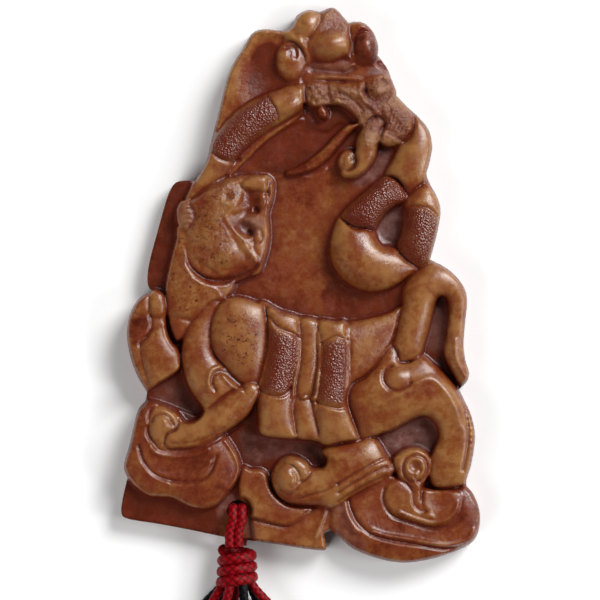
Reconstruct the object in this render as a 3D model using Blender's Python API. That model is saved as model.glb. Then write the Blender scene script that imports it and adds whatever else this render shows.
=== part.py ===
# Serpentine pendant: a carved stone plaque with a knotted cord and tassel, lying on its back.
# The back is flat on z = 0, +Y runs up the carving and +Z points out of its front.
import math

import bmesh
import bpy
import numpy as np

# Plaque, in metres
PLAQUE_WIDTH = 0.0539
PLAQUE_HEIGHT = 0.0834
PLATE_THICKNESS = 0.0030    # the lowest ground, a flat plate
RELIEF_DEPTH = 0.0050       # from the plate to the highest crown
EDGE_WALL = 0.0030          # upright wall of the outer edge
EDGE_ROLL = 0.0021          # width over which the carving rolls off to that wall
SHEET_PITCH = 0.0004        # grid that takes the carving
SHEET_SHARE = 0.084         # share of the grid's triangles that is kept
SHEET_MARGIN = 0.0010       # how far the grid runs past the outline

# Cord hole at the foot, and the channel for the cord in the back
HOLE_DIAMETER = 0.0031
CHANNEL_DEPTH = 0.0020
HOLE_SIDES = 24
TROUGH_LEVEL = 3.6          # the worn place where the cord lies on the front, as a carving level

# Cords
GAP = 0.0003                # between pieces that touch
LOOP_CORD = 0.0010
TASSEL_CORD = 0.0014
KNOT_LENGTH = 0.0054
KNOT_DIAMETER = 0.0058
KNOT_TURNS = 3
KNOT_NECK = 0.86            # the groove between two turns, as a share of the knot's diameter
TASSEL_LENGTH = 0.048       # from the knot to the cut ends

# The carving is laid out on a drawing, x to the right and y down. The plaque fills it from its
# left to its right edge and from its top to its foot, so every place is a share of the plaque.
DRAWING_LEFT = 121.0
DRAWING_RIGHT = 480.5
DRAWING_TOP = 7.0
DRAWING_FOOT = 563.0
DRAWING_MARGIN = 10.0
CELL = 2.0                  # spacing of the height samples, in drawing units
EDGE_SOFT = 2.6             # width of the slope at a form's edge
HOLE_PLACE = (237.5, 511.0)
FOOT_EDGE = 542.3           # the lowest place of the foot beside the knot

# Levels of the carving: 3 is the plate's front and 8 the highest crown
PLATE_LEVEL = 3.0
CROWN_LEVEL = 8.0
# One drawing unit in level units, so that a half-round form is as high as it is half wide
UNIT = (PLAQUE_HEIGHT / (DRAWING_FOOT - DRAWING_TOP)) * (CROWN_LEVEL - PLATE_LEVEL) / RELIEF_DEPTH
CURVE_STEP = 2.5            # spacing of the points along a carved form, in drawing units
OUTLINE_STEP = 4.0          # and along the plaque's outline
ROLL_TOP = 9.2              # the level that the roll-off at the edge aims at
SOFTEN = 0.6                # polish, in cells

TROUGH_SLACK = 0.0002       # slack of the loop over the worn trough
LOOP_RISE = 0.00035         # how far above the hole's middle the loop goes through
LOOP_LEAN = -0.0005         # how far the front of the loop leans sideways at the knot
KNOT_SHIFT = -0.0001        # the knot's middle beside the hole's
KNOT_HEIGHT = 0.0031        # the knot's middle above the back
KNOT_SIDES = 16
KNOT_STEPS = 4              # profile steps for each turn
LOOP_SPACING = 0.0009
TASSEL_LEAD = 0.0005        # the cords of the tassel leave the knot straight
TASSEL_SPACING = 0.0034

# Each cord of the tassel: x from the knot's middle and height above the back in millimetres,
# and between them how far along the tassel the place lies, as a share of its length.
TASSEL_ROUTES = {
    "tassel_cord_1": ("black", [(-1.64, 0, 1.8), (-2.9, 0.035, 1.6), (-5.0, 0.08, 1.2), (-7.2, 0.14, 0.85),
                                (-8.6, 0.23, 0.8), (-9.2, 0.38, 0.8), (-9.0, 0.57, 0.8), (-9.3, 0.78, 0.8),
                                (-9.0, 1, 0.8)]),
    "tassel_cord_2": ("red", [(-2.05, 0, 3.6), (-2.7, 0.035, 3.7), (-4.0, 0.08, 3.3), (-5.3, 0.14, 2.2),
                              (-6.0, 0.23, 1.0), (-6.4, 0.38, 0.8), (-6.5, 0.57, 0.8), (-6.2, 0.78, 0.8),
                              (-6.6, 0.98, 0.8)]),
    "tassel_cord_3": ("black", [(0, 0, 1.0), (-0.9, 0.035, 0.9), (-2.4, 0.08, 0.8), (-3.0, 0.14, 0.8),
                                (-3.6, 0.23, 0.8), (-4.0, 0.38, 0.8), (-3.8, 0.57, 0.8), (-3.9, 0.78, 0.8),
                                (-4.2, 0.96, 0.8)]),
    "tassel_cord_4": ("red", [(-0.91, 0, 5.0), (-1.2, 0.035, 5.1), (-1.8, 0.08, 4.8), (-2.0, 0.14, 3.6),
                              (-1.7, 0.23, 2.0), (-1.4, 0.38, 0.9), (-1.6, 0.57, 0.8), (-1.3, 0.78, 0.8),
                              (-1.5, 1, 0.8)]),
    "tassel_cord_5": ("red", [(0, 0, 3.1), (-0.1, 0.035, 3.1), (-0.5, 0.08, 2.9), (0.1, 0.14, 2.0),
                              (0.9, 0.23, 1.0), (1.2, 0.38, 0.8), (1.0, 0.57, 0.8), (1.3, 0.78, 0.8),
                              (1.0, 0.97, 0.8)]),
    "tassel_cord_6": ("black", [(0.91, 0, 5.0), (1.0, 0.035, 5.1), (1.2, 0.08, 4.7), (2.0, 0.14, 3.4),
                                (3.0, 0.23, 1.8), (3.7, 0.38, 0.85), (3.5, 0.57, 0.8), (3.8, 0.78, 0.8),
                                (3.6, 1, 0.8)]),
    "tassel_cord_7": ("black", [(1.64, 0, 1.8), (2.3, 0.035, 1.7), (3.2, 0.08, 1.3), (4.4, 0.14, 0.9),
                                (5.6, 0.23, 0.8), (6.2, 0.38, 0.8), (6.0, 0.57, 0.8), (6.3, 0.78, 0.8),
                                (6.1, 0.97, 0.8)]),
    "tassel_cord_8": ("red", [(2.05, 0, 3.6), (3.0, 0.035, 3.7), (4.9, 0.08, 3.3), (6.7, 0.14, 2.3),
                              (7.9, 0.23, 1.1), (8.7, 0.38, 0.8), (8.5, 0.57, 0.8), (8.8, 0.78, 0.8),
                              (8.4, 1, 0.8)]),
}

# The outer edge, clockwise from the top
OUTLINE = [
    (331, 7), (337, 9.5), (343, 16), (348.5, 22.5), (348.5, 22.5), (356, 21), (364, 22.5), (371, 28.5),
    (376, 37), (378.5, 47), (378, 55), (378, 55), (387, 67), (392, 79), (396.5, 91), (396.5, 95),
    (396.5, 95), (406, 105), (420, 118), (429, 130), (432.5, 146), (430, 162), (427, 174), (431, 185),
    (438, 198), (441, 211), (438, 231), (434, 247), (430.5, 259.5), (430.5, 259.5), (445, 267),
    (457, 277), (465, 289), (467.5, 302), (465.5, 324), (464, 345), (466, 361), (469.5, 373),
    (467, 382), (459.5, 389.5), (459.5, 389.5), (465, 401), (472, 417), (475.5, 438), (472, 463),
    (467, 480), (467, 486.5), (467, 486.5), (474, 495), (480, 512), (479, 531), (471, 544), (447, 555),
    (422, 561.5), (399, 563), (375, 558), (353, 549), (339, 537), (331, 532), (324, 534.5),
    (324, 534.5), (326, 543), (326, 550), (321, 551), (300, 548.5), (275, 544.5), (250, 541),
    (224, 537.5), (190, 530.5), (158, 524.5), (128, 519.5), (121, 514), (122, 500), (127, 478),
    (127, 478), (123.5, 466), (129, 445), (137, 412), (145, 401), (146.5, 392), (146.5, 392),
    (137, 376), (130, 357), (126.5, 335), (129, 316), (138, 299), (151, 291.5), (151, 291.5),
    (147, 282), (149, 262), (158, 228), (166, 200), (172, 186), (179, 181), (195, 180), (195, 180),
    (206, 161), (210, 145), (218, 114), (229, 72), (244, 46), (252, 33), (264, 28.7), (283, 30),
    (292, 25), (297, 15), (308, 9.3), (320, 11)]


def smooth_curve(points, closed=False, step=CURVE_STEP):
    """Points along a smooth curve through the given ones. A point given twice makes a corner."""
    points = np.array(points, dtype=float)
    count = len(points)
    result = []
    for i in range(count if closed else count - 1):
        if closed:
            a, b, c, d = (points[(i + k) % count] for k in (-1, 0, 1, 2))
        else:
            a, b, c, d = (points[min(max(i + k, 0), count - 1)] for k in (-1, 0, 1, 2))
        steps = max(1, round(math.dist(b, c) / step))
        for t in np.arange(steps) / steps:
            result.append(0.5 * (2 * b + (c - a) * t + (2 * a - 5 * b + 4 * c - d) * t ** 2
                                 + (3 * b - a - 3 * c + d) * t ** 3))
    if not closed:
        result.append(points[-1])
    return np.array(result)


def nearest_on(curve, x, y):
    """Distance to the curve, and the curve's further values at the nearest place."""
    best = np.full(x.shape, np.inf)
    values = np.zeros((curve.shape[1] - 2,) + x.shape)
    for a, b in zip(curve[:-1], curve[1:]):
        run = b - a
        t = np.clip(((x - a[0]) * run[0] + (y - a[1]) * run[1]) / max(run[0] ** 2 + run[1] ** 2, 1e-9), 0, 1)
        gap = (x - a[0] - t * run[0]) ** 2 + (y - a[1] - t * run[1]) ** 2
        closer = gap < best
        best[closer] = gap[closer]
        for k, value in enumerate(values):
            value[closer] = (a[2 + k] + t * run[2 + k])[closer]
    return np.sqrt(best), values


def edge_distance(curve, x, y):
    """Distance to a closed curve, negative inside it."""
    loop = np.vstack([curve, curve[:1]])[:, :2]
    gap = nearest_on(loop, x, y)[0]
    inside = np.zeros(x.shape, dtype=bool)
    for (ax, ay), (bx, by) in zip(loop[:-1], loop[1:]):
        if ay != by:
            inside ^= ((ay > y) != (by > y)) & (x < (bx - ax) * (y - ay) / (by - ay) + ax)
    return np.where(inside, -gap, gap)


def cushion(inside):
    """Height of a soft cushion that fills the cells inside, half round where they form a strip."""
    cells = np.pad(inside, 1)
    height = np.zeros(cells.shape)
    span = max(4, min(cells.shape))
    push = 2 / (1 + math.pi / span)
    rows, columns = np.indices(cells.shape)
    for _ in range(2 * span):
        for parity in (0, 1):
            turn = cells & ((rows + columns) % 2 == parity)
            around = (np.roll(height, 1, 0) + np.roll(height, -1, 0) + np.roll(height, 1, 1)
                      + np.roll(height, -1, 1) + CELL ** 2) / 4
            height[turn] += push * (around - height)[turn]
    return np.sqrt(2 * np.clip(height[1:-1, 1:-1], 0, None))


def blur(values, radius):
    """Gaussian blur of the samples, with the radius in cells."""
    reach = int(3 * radius) + 1
    weights = np.exp(-0.5 * (np.arange(-reach, reach + 1) / radius) ** 2)
    weights /= weights.sum()
    for axis in (0, 1):
        sides = [(0, 0), (0, 0)]
        sides[axis] = (reach, reach)
        padded = np.pad(values, sides, mode="edge")
        size = values.shape[axis]
        values = sum(w * np.take(padded, range(i, i + size), axis) for i, w in enumerate(weights))
    return values


class Relief:
    """Levels of the carving, sampled over the drawing, with forms laid over each other."""

    def __init__(self):
        self.left = DRAWING_LEFT - DRAWING_MARGIN
        self.top = DRAWING_TOP - DRAWING_MARGIN
        columns = np.arange(self.left, DRAWING_RIGHT + DRAWING_MARGIN, CELL)
        rows = np.arange(self.top, DRAWING_FOOT + DRAWING_MARGIN, CELL)
        self.x, self.y = np.meshgrid(columns, rows)
        self.level = np.full(self.x.shape, PLATE_LEVEL)

    def near(self, curve, margin):
        """The cells around a curve."""
        low = curve[:, :2].min(0) - margin
        high = curve[:, :2].max(0) + margin
        start = np.maximum((low - (self.left, self.top)) / CELL, 0).astype(int)
        end = np.maximum((high - (self.left, self.top)) / CELL + 2, 0).astype(int)
        area = slice(start[1], end[1]), slice(start[0], end[0])
        return area, self.x[area], self.y[area]

    def lay(self, area, gap, top):
        """Put a form over the others, with a soft edge."""
        # crisp at the foot and rounded at the top
        cover = 1 - (1 - np.clip(0.5 - gap / EDGE_SOFT, 0, 1)) ** 2
        self.level[area] += (top - self.level[area]) * cover

    def form(self, outline, edge, swell):
        """A swelling form with a closed outline."""
        curve = smooth_curve(outline, closed=True)
        area, x, y = self.near(curve, EDGE_SOFT)
        gap = edge_distance(curve, x, y)
        rise = cushion(gap < 0) * UNIT * swell if swell else 0
        self.lay(area, gap, edge + rise)

    def tube(self, route, drop=0.8):
        """A round bar along a route of (x, y, half width, crown)."""
        curve = smooth_curve(route)
        area, x, y = self.near(curve, max(point[2] for point in route) + EDGE_SOFT)
        gap, (half, crown) = nearest_on(curve, x, y)
        rounding = 1 - np.sqrt(np.clip(1 - (gap / half) ** 2, 0, 1))
        self.lay(area, gap - half, crown - half * UNIT * drop * rounding)

    def line(self, route, width, height):
        """A ridge along a route, or with a negative height a groove."""
        curve = smooth_curve(route)
        area, x, y = self.near(curve, 3 * width)
        gap = nearest_on(curve, x, y)[0]
        self.level[area] += height * np.exp(-(gap / width) ** 2)

    def boss(self, x, y, across, along, height, turn=0.0, power=2.0):
        """A round bump, or with a negative height a dish. A higher power makes it flatter."""
        c, s = math.cos(math.radians(turn)), math.sin(math.radians(turn))
        u = ((self.x - x) * c + (self.y - y) * s) / across
        v = ((self.y - y) * c - (self.x - x) * s) / along
        share = np.clip(1 - np.hypot(u, v) ** power, 0, 1)
        self.level += height * share ** 1.5

    def hollow(self, outline, level, wall=3.0):
        """Cut down to a level inside an outline, with a sloping wall."""
        curve = smooth_curve(outline, closed=True)
        area, x, y = self.near(curve, CELL)
        share = np.clip(-edge_distance(curve, x, y) / wall, 0, 1)
        share = share ** 2 * (3 - 2 * share)
        old = self.level[area]
        self.level[area] = np.minimum(old, old + (level - old) * share)

    def at(self, x, y):
        """The level at a place of the drawing, between the samples."""
        column = (x - self.left) / CELL
        row = (y - self.top) / CELL
        i = min(max(int(row), 0), self.level.shape[0] - 2)
        j = min(max(int(column), 0), self.level.shape[1] - 2)
        v = min(max(row - i, 0), 1)
        u = min(max(column - j, 0), 1)
        low = self.level[i, j] * (1 - u) + self.level[i, j + 1] * u
        high = self.level[i + 1, j] * (1 - u) + self.level[i + 1, j + 1] * u
        return low * (1 - v) + high * v


def lay_ground(cut):
    cut.form([(240, 108), (262, 96), (300, 84), (350, 80), (400, 110), (420, 200), (410, 330), (300, 330),
              (225, 320), (215, 250), (215, 180), (222, 150)], edge=3.5, swell=0)
    cut.boss(318, 230, 75, 90, -0.3)
    # the field at the upper left, with its hollow
    cut.form([(295, 24), (276, 26), (262, 25), (248, 33), (238, 48), (226, 74), (216, 108), (204, 150),
              (214, 160), (236, 140), (262, 115), (285, 103), (306, 92), (300, 70), (290, 50)], edge=5.2,
              swell=0)
    cut.boss(268, 74, 34, 44, -1.1, turn=15)


def carve_cloud_head(cut):
    # the ledge, and the clouds as one mass
    cut.form([(302, 60), (325, 58), (350, 58), (372, 62), (384, 70), (390, 80), (380, 84), (350, 84),
              (320, 84), (304, 86)], edge=4.8, swell=0.2)
    cut.line([(315, 77), (330, 77), (348, 78), (363, 80)], 1.6, 0.4)
    cut.line([(316, 82), (330, 81.5), (345, 82)], 1.2, -0.4)
    cut.line([(312, 69), (330, 71), (344, 72), (354, 69)], 3.0, -0.5)
    cut.line([(344, 70), (350, 66), (358, 64), (366, 66.5), (376, 63.5)], 1.4, 0.4)
    cut.form([(286, 30), (292, 22), (297, 14), (304, 8), (314, 8), (322, 11), (331, 5), (338, 8), (345, 16),
              (350, 22), (356, 20), (364, 21), (372, 28), (378, 37), (381, 47), (380, 58), (372, 66),
              (364, 67), (352, 62), (344, 58), (336, 60), (326, 62), (314, 62), (306, 66), (302, 74),
              (296, 79), (289, 80), (281, 75), (277, 67), (276.5, 57), (278, 49), (283, 42), (284, 36)],
              edge=5.0, swell=0.35)
    cut.boss(306, 24, 16, 17, 0.7)
    cut.boss(302, 24, 4.5, 4.5, -0.25)
    cut.line([(262, 33), (276, 33), (290, 36), (300, 44)], 3.0, 0.4)
    # the small curl, a ball with a spiral hole
    cut.form([(276.5, 57), (278, 49), (284, 43), (291, 41.5), (298, 44.5), (303, 52), (306, 62), (304, 72),
              (298, 79), (289, 80.5), (281, 75), (277, 67)], edge=5.0, swell=0.75)
    cut.line([(286, 48), (291, 46.5), (295.5, 50), (296, 57)], 1.8, -0.45)
    cut.boss(291, 53, 6, 7, -0.55)
    cut.line([(300, 38), (303, 46), (306, 56), (306.5, 64)], 2.4, 0.3)
    # middle cloud, a pillow below a slope
    cut.boss(331, 47, 23, 15, 1.5, turn=-15)
    cut.boss(334, 24, 15, 18, -0.5)
    cut.line([(321, 13), (319, 23), (314, 32), (309, 38)], 2.2, -0.35)
    # right scroll: a rim round an inner ball
    cut.form([(349, 28), (352, 22.5), (357, 20.5), (364, 21), (371, 26), (377, 35), (380, 47), (378, 58),
              (372, 65), (364, 65.5), (355, 62), (350, 54), (350, 40)], edge=5.0, swell=0.55)
    cut.line([(355, 54), (354, 44), (356, 36), (361, 31.5), (368, 32), (373, 38)], 1.8, -0.55)
    cut.boss(366, 47, 11, 14, 0.8)


def carve_dragon_back(cut):
    # left of its head the body is a tube that dives behind the beast
    cut.form([(304, 112), (290, 123), (280, 129.5), (270, 136.5), (262, 143.5), (255, 150), (248, 158),
              (238, 168), (225, 180), (215, 170), (235, 150), (258, 128), (280, 108)], edge=4.6, swell=0)
    cut.line([(303, 119), (290, 124), (280, 130), (270, 137), (262, 144), (255, 150.5), (249, 157)],
              1.5, 0.5)
    cut.tube([(306, 96, 12, 6.4), (294, 99, 14, 6.6), (283, 104, 15.5, 6.7), (268, 111, 16.5, 6.8),
              (250, 122, 17.5, 6.8), (236, 135, 17, 6.6), (224, 150, 15.5, 6.4), (215, 164, 14.5, 6.1),
              (207, 178, 12.5, 5.8), (198, 190, 9, 5.3), (190, 199, 5, 4.9)], drop=0.7)
    cut.boss(291, 108, 13, 9, 0.5, turn=-35)
    cut.line([(267, 95), (271, 103), (276, 111), (279, 121)], 1.6, -0.5)
    cut.line([(209, 148), (215, 155), (223, 160), (233, 162), (240, 160)], 1.6, -0.5)
    cut.line([(228, 176), (216, 181), (204, 189), (191, 200)], 1.2, -0.4)


def carve_dragon_coils(cut):
    # neck
    cut.form([(396, 98), (407, 105), (420, 116), (430, 129), (435, 146), (432, 162), (429, 175), (426, 183),
              (414, 192), (406, 199), (398, 190), (393, 181), (385, 178), (388, 168), (394, 157),
              (399, 146), (404, 139), (407, 126), (402, 112)], edge=4.4, swell=0.85)
    # scaled stretch, then the smooth bend, then the tube that climbs at the right
    cut.form([(341, 216), (335, 225), (331, 239), (330, 252), (332, 262), (337, 272), (345, 281),
              (356, 288), (370, 291.5), (385, 290), (397, 285), (408, 277.5), (420, 270), (415, 262),
              (405, 255), (399, 250), (391, 247), (383, 246), (377, 239), (373, 229), (365, 224),
              (355, 220)], edge=4.2, swell=0.85)
    cut.form([(388, 175), (377, 182), (365, 192), (352, 203), (341, 216), (346, 223), (355, 228.5),
              (365, 229), (373, 231), (379, 221), (386, 212), (396, 205), (407, 200), (404, 189),
              (398, 180)], edge=4.6, swell=0.85)
    cut.line([(341, 217), (347, 224), (355, 228.5), (365, 229), (373, 231)], 1.5, -0.4)
    cut.line([(386, 176), (396, 178.5), (403, 185), (408, 194)], 1.5, -0.4)
    cut.form([(428, 181), (419, 186.5), (411, 193), (405, 202), (404, 216), (402, 232), (397, 245),
              (399, 253), (405, 260), (415, 266), (424, 269), (432, 262), (436, 249), (440, 235),
              (443.5, 220), (443, 207), (438, 196), (432, 186)], edge=4.4, swell=0.9)
    cut.line([(405, 208), (412, 206), (421, 206.5), (430, 210), (438, 218)], 1.6, -0.45)
    cut.hollow([(397, 206), (403, 208), (403, 222), (400, 234), (395, 245), (387, 245), (381, 240),
                (376, 231), (380, 221), (387, 212)], 3.2, wall=4)


def carve_dragon_head(cut):
    # beard that curls up into a ball
    cut.hollow([(396, 146), (393, 158), (386, 170), (375, 180), (362, 187), (352, 184), (356, 178),
                (368, 170), (376, 158), (386, 146)], 3.8, wall=6)
    cut.tube([(376, 128, 10, 6.3), (370, 138, 10.5, 6.6), (367, 150, 10.5, 6.7), (364, 161, 9.5, 6.5),
              (357, 170, 7.5, 6.1), (348, 172, 5.5, 5.7)], drop=0.8)
    cut.form([(338.5, 161), (341, 153.5), (347, 150), (354, 152), (357, 159), (355, 167), (348, 171.5),
              (341, 169)], edge=4.6, swell=0.9)
    cut.line([(343, 165), (343, 158), (347, 154), (352, 156), (352, 161)], 1.3, -0.35)
    # tongue
    cut.tube([(362, 121, 2.5, 5.6), (354, 125, 3.2, 5.6), (345, 132, 4, 5.6), (336, 142, 4.6, 5.5),
              (327, 152, 5, 5.3), (317, 161, 5, 5.0), (306, 167.5, 4.4, 4.9), (296, 171.5, 3, 4.7),
              (288, 173, 2, 4.5)], drop=0.6)
    cut.line([(357, 124), (346, 130), (336, 139), (326, 149), (314, 158), (300, 166)], 1.2, 0.25)
    cut.line([(302, 177.5), (312, 177), (320, 174), (326, 169)], 1.3, 0.25)
    # skull, snout and cheek
    cut.form([(303.5, 92), (305, 84), (312, 81.5), (325, 82), (340, 83), (352, 83), (361, 82), (368, 77),
              (379, 75), (389, 78), (395, 88), (400, 98), (409, 108), (414, 120), (413, 132), (407, 140),
              (397, 146), (386, 146), (376, 140), (368, 133), (362, 126), (355, 119), (348, 112),
              (340, 107), (332, 106), (326, 110), (318, 112), (309, 109), (304.5, 101)], edge=5.2,
              swell=0.35)
    cut.boss(315, 95, 12, 14, 0.5)
    cut.boss(345, 93, 18, 10, 0.3)
    cut.line([(327, 84), (328, 94), (331, 103)], 2.4, -0.35)
    # mouth, with one tooth and the lip over it
    cut.form([(304, 104), (314, 108), (328, 106), (340, 106), (350, 112), (358, 121), (350, 124),
              (340, 122), (333, 127), (327, 131), (318, 129), (309, 122), (304, 113)], edge=4.4, swell=0)
    cut.boss(316, 117, 11, 10, -0.55)
    cut.form([(318, 109), (322, 107), (326.5, 109.5), (328, 115), (325.5, 119.5), (320.5, 118), (318, 114)],
              edge=5.3, swell=0.9)
    cut.line([(332, 101), (340, 103), (347, 108), (354, 115), (361, 123)], 2.0, 0.35)
    cut.line([(334, 92), (344, 95), (354, 101), (362, 110)], 1.6, -0.35)
    cut.line([(338, 86), (346, 91), (355, 93), (362, 97)], 1.8, 0.3)
    for x, y in ((309, 90), (315, 88), (318, 94), (311, 98), (322, 99), (316, 102)):
        cut.boss(x, y, 3.2, 3.2, -0.4)
    # eye and its lids
    cut.line([(365, 84), (365, 92), (369, 99), (377, 102), (386, 99), (391, 92), (389, 84), (382, 79)],
              1.8, -0.45)
    cut.boss(378, 90, 11, 10, 0.75)
    cut.line([(371, 92), (374, 97), (380, 98), (385, 94)], 1.2, -0.3)
    cut.boss(366, 91, 3, 4, -0.7)
    cut.boss(390, 86, 5, 7, 0.35)
    cut.line([(360, 84), (361, 94), (366, 103), (374, 108)], 1.8, 0.3)
    cut.line([(366, 106), (372, 113), (377, 122)], 1.6, -0.3)
    cut.line([(381, 113), (384, 117), (387, 122), (384, 129)], 1.5, -0.4)
    # mane
    for a in range(8):
        cut.line([(390 + 3.2 * a, 112 + 3.6 * a), (388 + 2.8 * a, 121 + 3 * a),
                  (381 + 3 * a, 130 + 1.6 * a)], 1.1, -0.4)
    cut.line([(399, 98), (408, 107), (413.5, 118), (413, 130), (406, 140), (396, 146)], 1.6, -0.45)


def carve_beast_body(cut):
    # trunk
    cut.form([(258, 303), (280, 311), (300, 317), (320, 321), (350, 322), (376, 317.5), (392, 312),
              (403, 306), (402, 318), (398, 331), (393, 343), (386, 354), (376, 366), (364, 377),
              (352, 385), (350, 400), (354, 420), (361, 438), (345, 442), (324, 444.5), (315, 440),
              (290, 438), (262, 434), (258, 418), (256, 398), (252, 380), (250, 340)], edge=4.7, swell=0.4)
    # bands round the trunk
    cut.form([(268, 308), (280, 312), (297, 318), (298, 335), (298.5, 350), (297, 363), (294, 376),
              (291.5, 390), (291.5, 412), (294, 428), (296, 438), (280, 438), (262, 434), (260, 420),
              (259.5, 400), (262, 384), (266, 368), (268.5, 350), (268, 330)], edge=6, swell=0.55)
    cut.form([(301, 319), (316.5, 321), (317, 335), (318, 352), (317.5, 368), (315.5, 382), (313, 396),
              (304, 396), (295, 396), (296, 382), (299, 366), (300.5, 350), (300.5, 335)], edge=5.7,
              swell=0.6)
    cut.form([(294, 398), (303, 399), (312, 399), (314, 412), (318, 428), (321.5, 441), (310, 440),
              (298, 438), (295.5, 426), (293, 411)], edge=5.6, swell=0.6)
    cut.form([(319, 321), (335, 322), (345, 322), (349.5, 338), (351, 355), (350, 372), (349, 390),
              (348, 404), (352, 416), (356, 427), (361, 438), (345, 441.5), (324, 444), (319, 430),
              (316.5, 415), (316, 402), (318.5, 388), (320, 370), (320.5, 350), (320, 335)], edge=6,
              swell=0.55)
    cut.line([(345.5, 326), (347, 345), (346.5, 370), (345.5, 390), (345, 405)], 1.3, -0.35)
    # ends of the scaled stretches
    cut.line([(269, 316), (276, 325), (284, 330), (292, 333), (298, 338)], 1.5, -0.45)
    cut.line([(260, 390), (268, 394), (278, 396), (286, 394), (291, 388)], 1.5, -0.45)
    cut.line([(321, 344), (328, 339), (336, 336), (345, 340)], 1.5, -0.4)
    cut.line([(316, 402), (325, 405), (337, 408), (347, 407)], 1.5, -0.45)


def carve_chest_and_foreleg(cut):
    # the neck runs down from behind the ear, then shoulder, chest and leg
    cut.form([(178, 226), (176, 240), (172, 254), (168.5, 270), (165, 287), (166, 300), (168, 316),
              (171, 330), (176, 341), (183, 338), (190, 328), (200, 320), (212, 310), (222, 302),
              (228, 296), (234, 288), (232, 276), (210, 262), (196, 240), (190, 228)], edge=4.6, swell=0.36)
    cut.line([(166, 319), (176, 318), (190, 320)], 3, -0.35)
    cut.form([(190, 325), (185, 335), (182, 345), (181, 356), (183, 368), (186, 380), (191, 392),
              (198, 402), (203, 409), (205, 418), (215, 424), (232, 420), (247, 408), (257, 396),
              (256, 388), (245, 385), (235, 377), (225, 366), (217, 358), (212, 349), (211, 338),
              (212, 325), (215, 314), (222, 305), (216, 300), (206, 306), (197, 316)], edge=4.8, swell=0.6)
    cut.form([(227, 298.5), (240, 298), (253, 301.5), (262, 306), (266, 313), (267.5, 325), (267.5, 340),
              (265.5, 356), (262, 370), (257, 384), (251, 387), (243, 384), (234, 377), (225, 367),
              (217, 357.5), (212, 349), (210.5, 338), (211, 325), (214, 314), (219.5, 305)], edge=5.2,
              swell=0.55)
    # lower leg with the scroll at its elbow and the fur at its wrist
    cut.tube([(250, 392, 10, 6.6), (238, 404, 15, 6.8), (223, 416, 15, 6.8), (208, 426, 14, 6.6),
              (193, 433, 13.5, 6.5), (178, 437, 13, 6.3), (166, 437, 12, 6.1), (158, 432, 11, 5.9)],
              drop=0.6)
    cut.line([(209, 386), (208.5, 378), (212, 370), (220, 366.5)], 1.4, 0.4)
    cut.line([(216, 391), (212.5, 384), (213.5, 376), (219, 371.5), (226, 374), (235, 382), (245, 389)],
              1.5, -0.45)
    cut.line([(223, 376), (231, 385), (241, 391)], 1.5, 0.4)
    for a in range(6):
        cut.line([(232 + 4.6 * a, 396 + 1.6 * a), (226 + 5.6 * a, 415 + 2 * a - 0.2 * a * a)], 1.1, -0.35)
    cut.line([(160, 448), (175, 449), (195, 449), (212, 443), (228, 433), (242, 424)], 1.6, -0.4)
    cut.line([(170, 444), (190, 443), (208, 437), (224, 428)], 1.2, -0.25)


def carve_raised_paw(cut):
    cut.form([(149, 291), (140, 295), (132, 303), (126, 315), (124, 330), (124, 344), (127, 358),
              (133, 371), (139, 381), (147, 391), (155, 386), (163, 381), (172, 375.5), (179, 369.5),
              (180.5, 360), (178, 350), (174, 346), (169, 338), (165.5, 328), (166, 318), (167.5, 305),
              (165, 297), (158, 292)], edge=4.5, swell=0.3)
    cut.form([(140, 340), (141, 352), (143, 364), (147, 376), (152, 387), (158, 383), (166, 378),
              (174, 373), (179, 368), (180, 360), (178, 351), (173, 346), (168, 339), (164, 327),
              (158, 326), (152, 330), (147, 336)], edge=5, swell=0.5)
    cut.form([(148, 294), (141, 296.5), (135, 302), (132, 309), (136, 314.5), (143, 315.5), (148.5, 311),
              (150, 303)], edge=4.9, swell=0.7)
    cut.form([(151, 292), (157, 291), (162.5, 294), (165, 302), (164.5, 312), (161, 318), (155, 318.5),
              (150.5, 315), (149, 304)], edge=5, swell=0.7)
    cut.line([(150, 316), (152, 324), (148, 335), (140, 345)], 1.6, -0.4)
    cut.line([(164, 324), (166, 334), (170, 343), (175, 348.5)], 1.3, 0.4)
    cut.line([(158, 383), (166, 378), (174, 373), (180, 367)], 2.2, 0.25)


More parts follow.
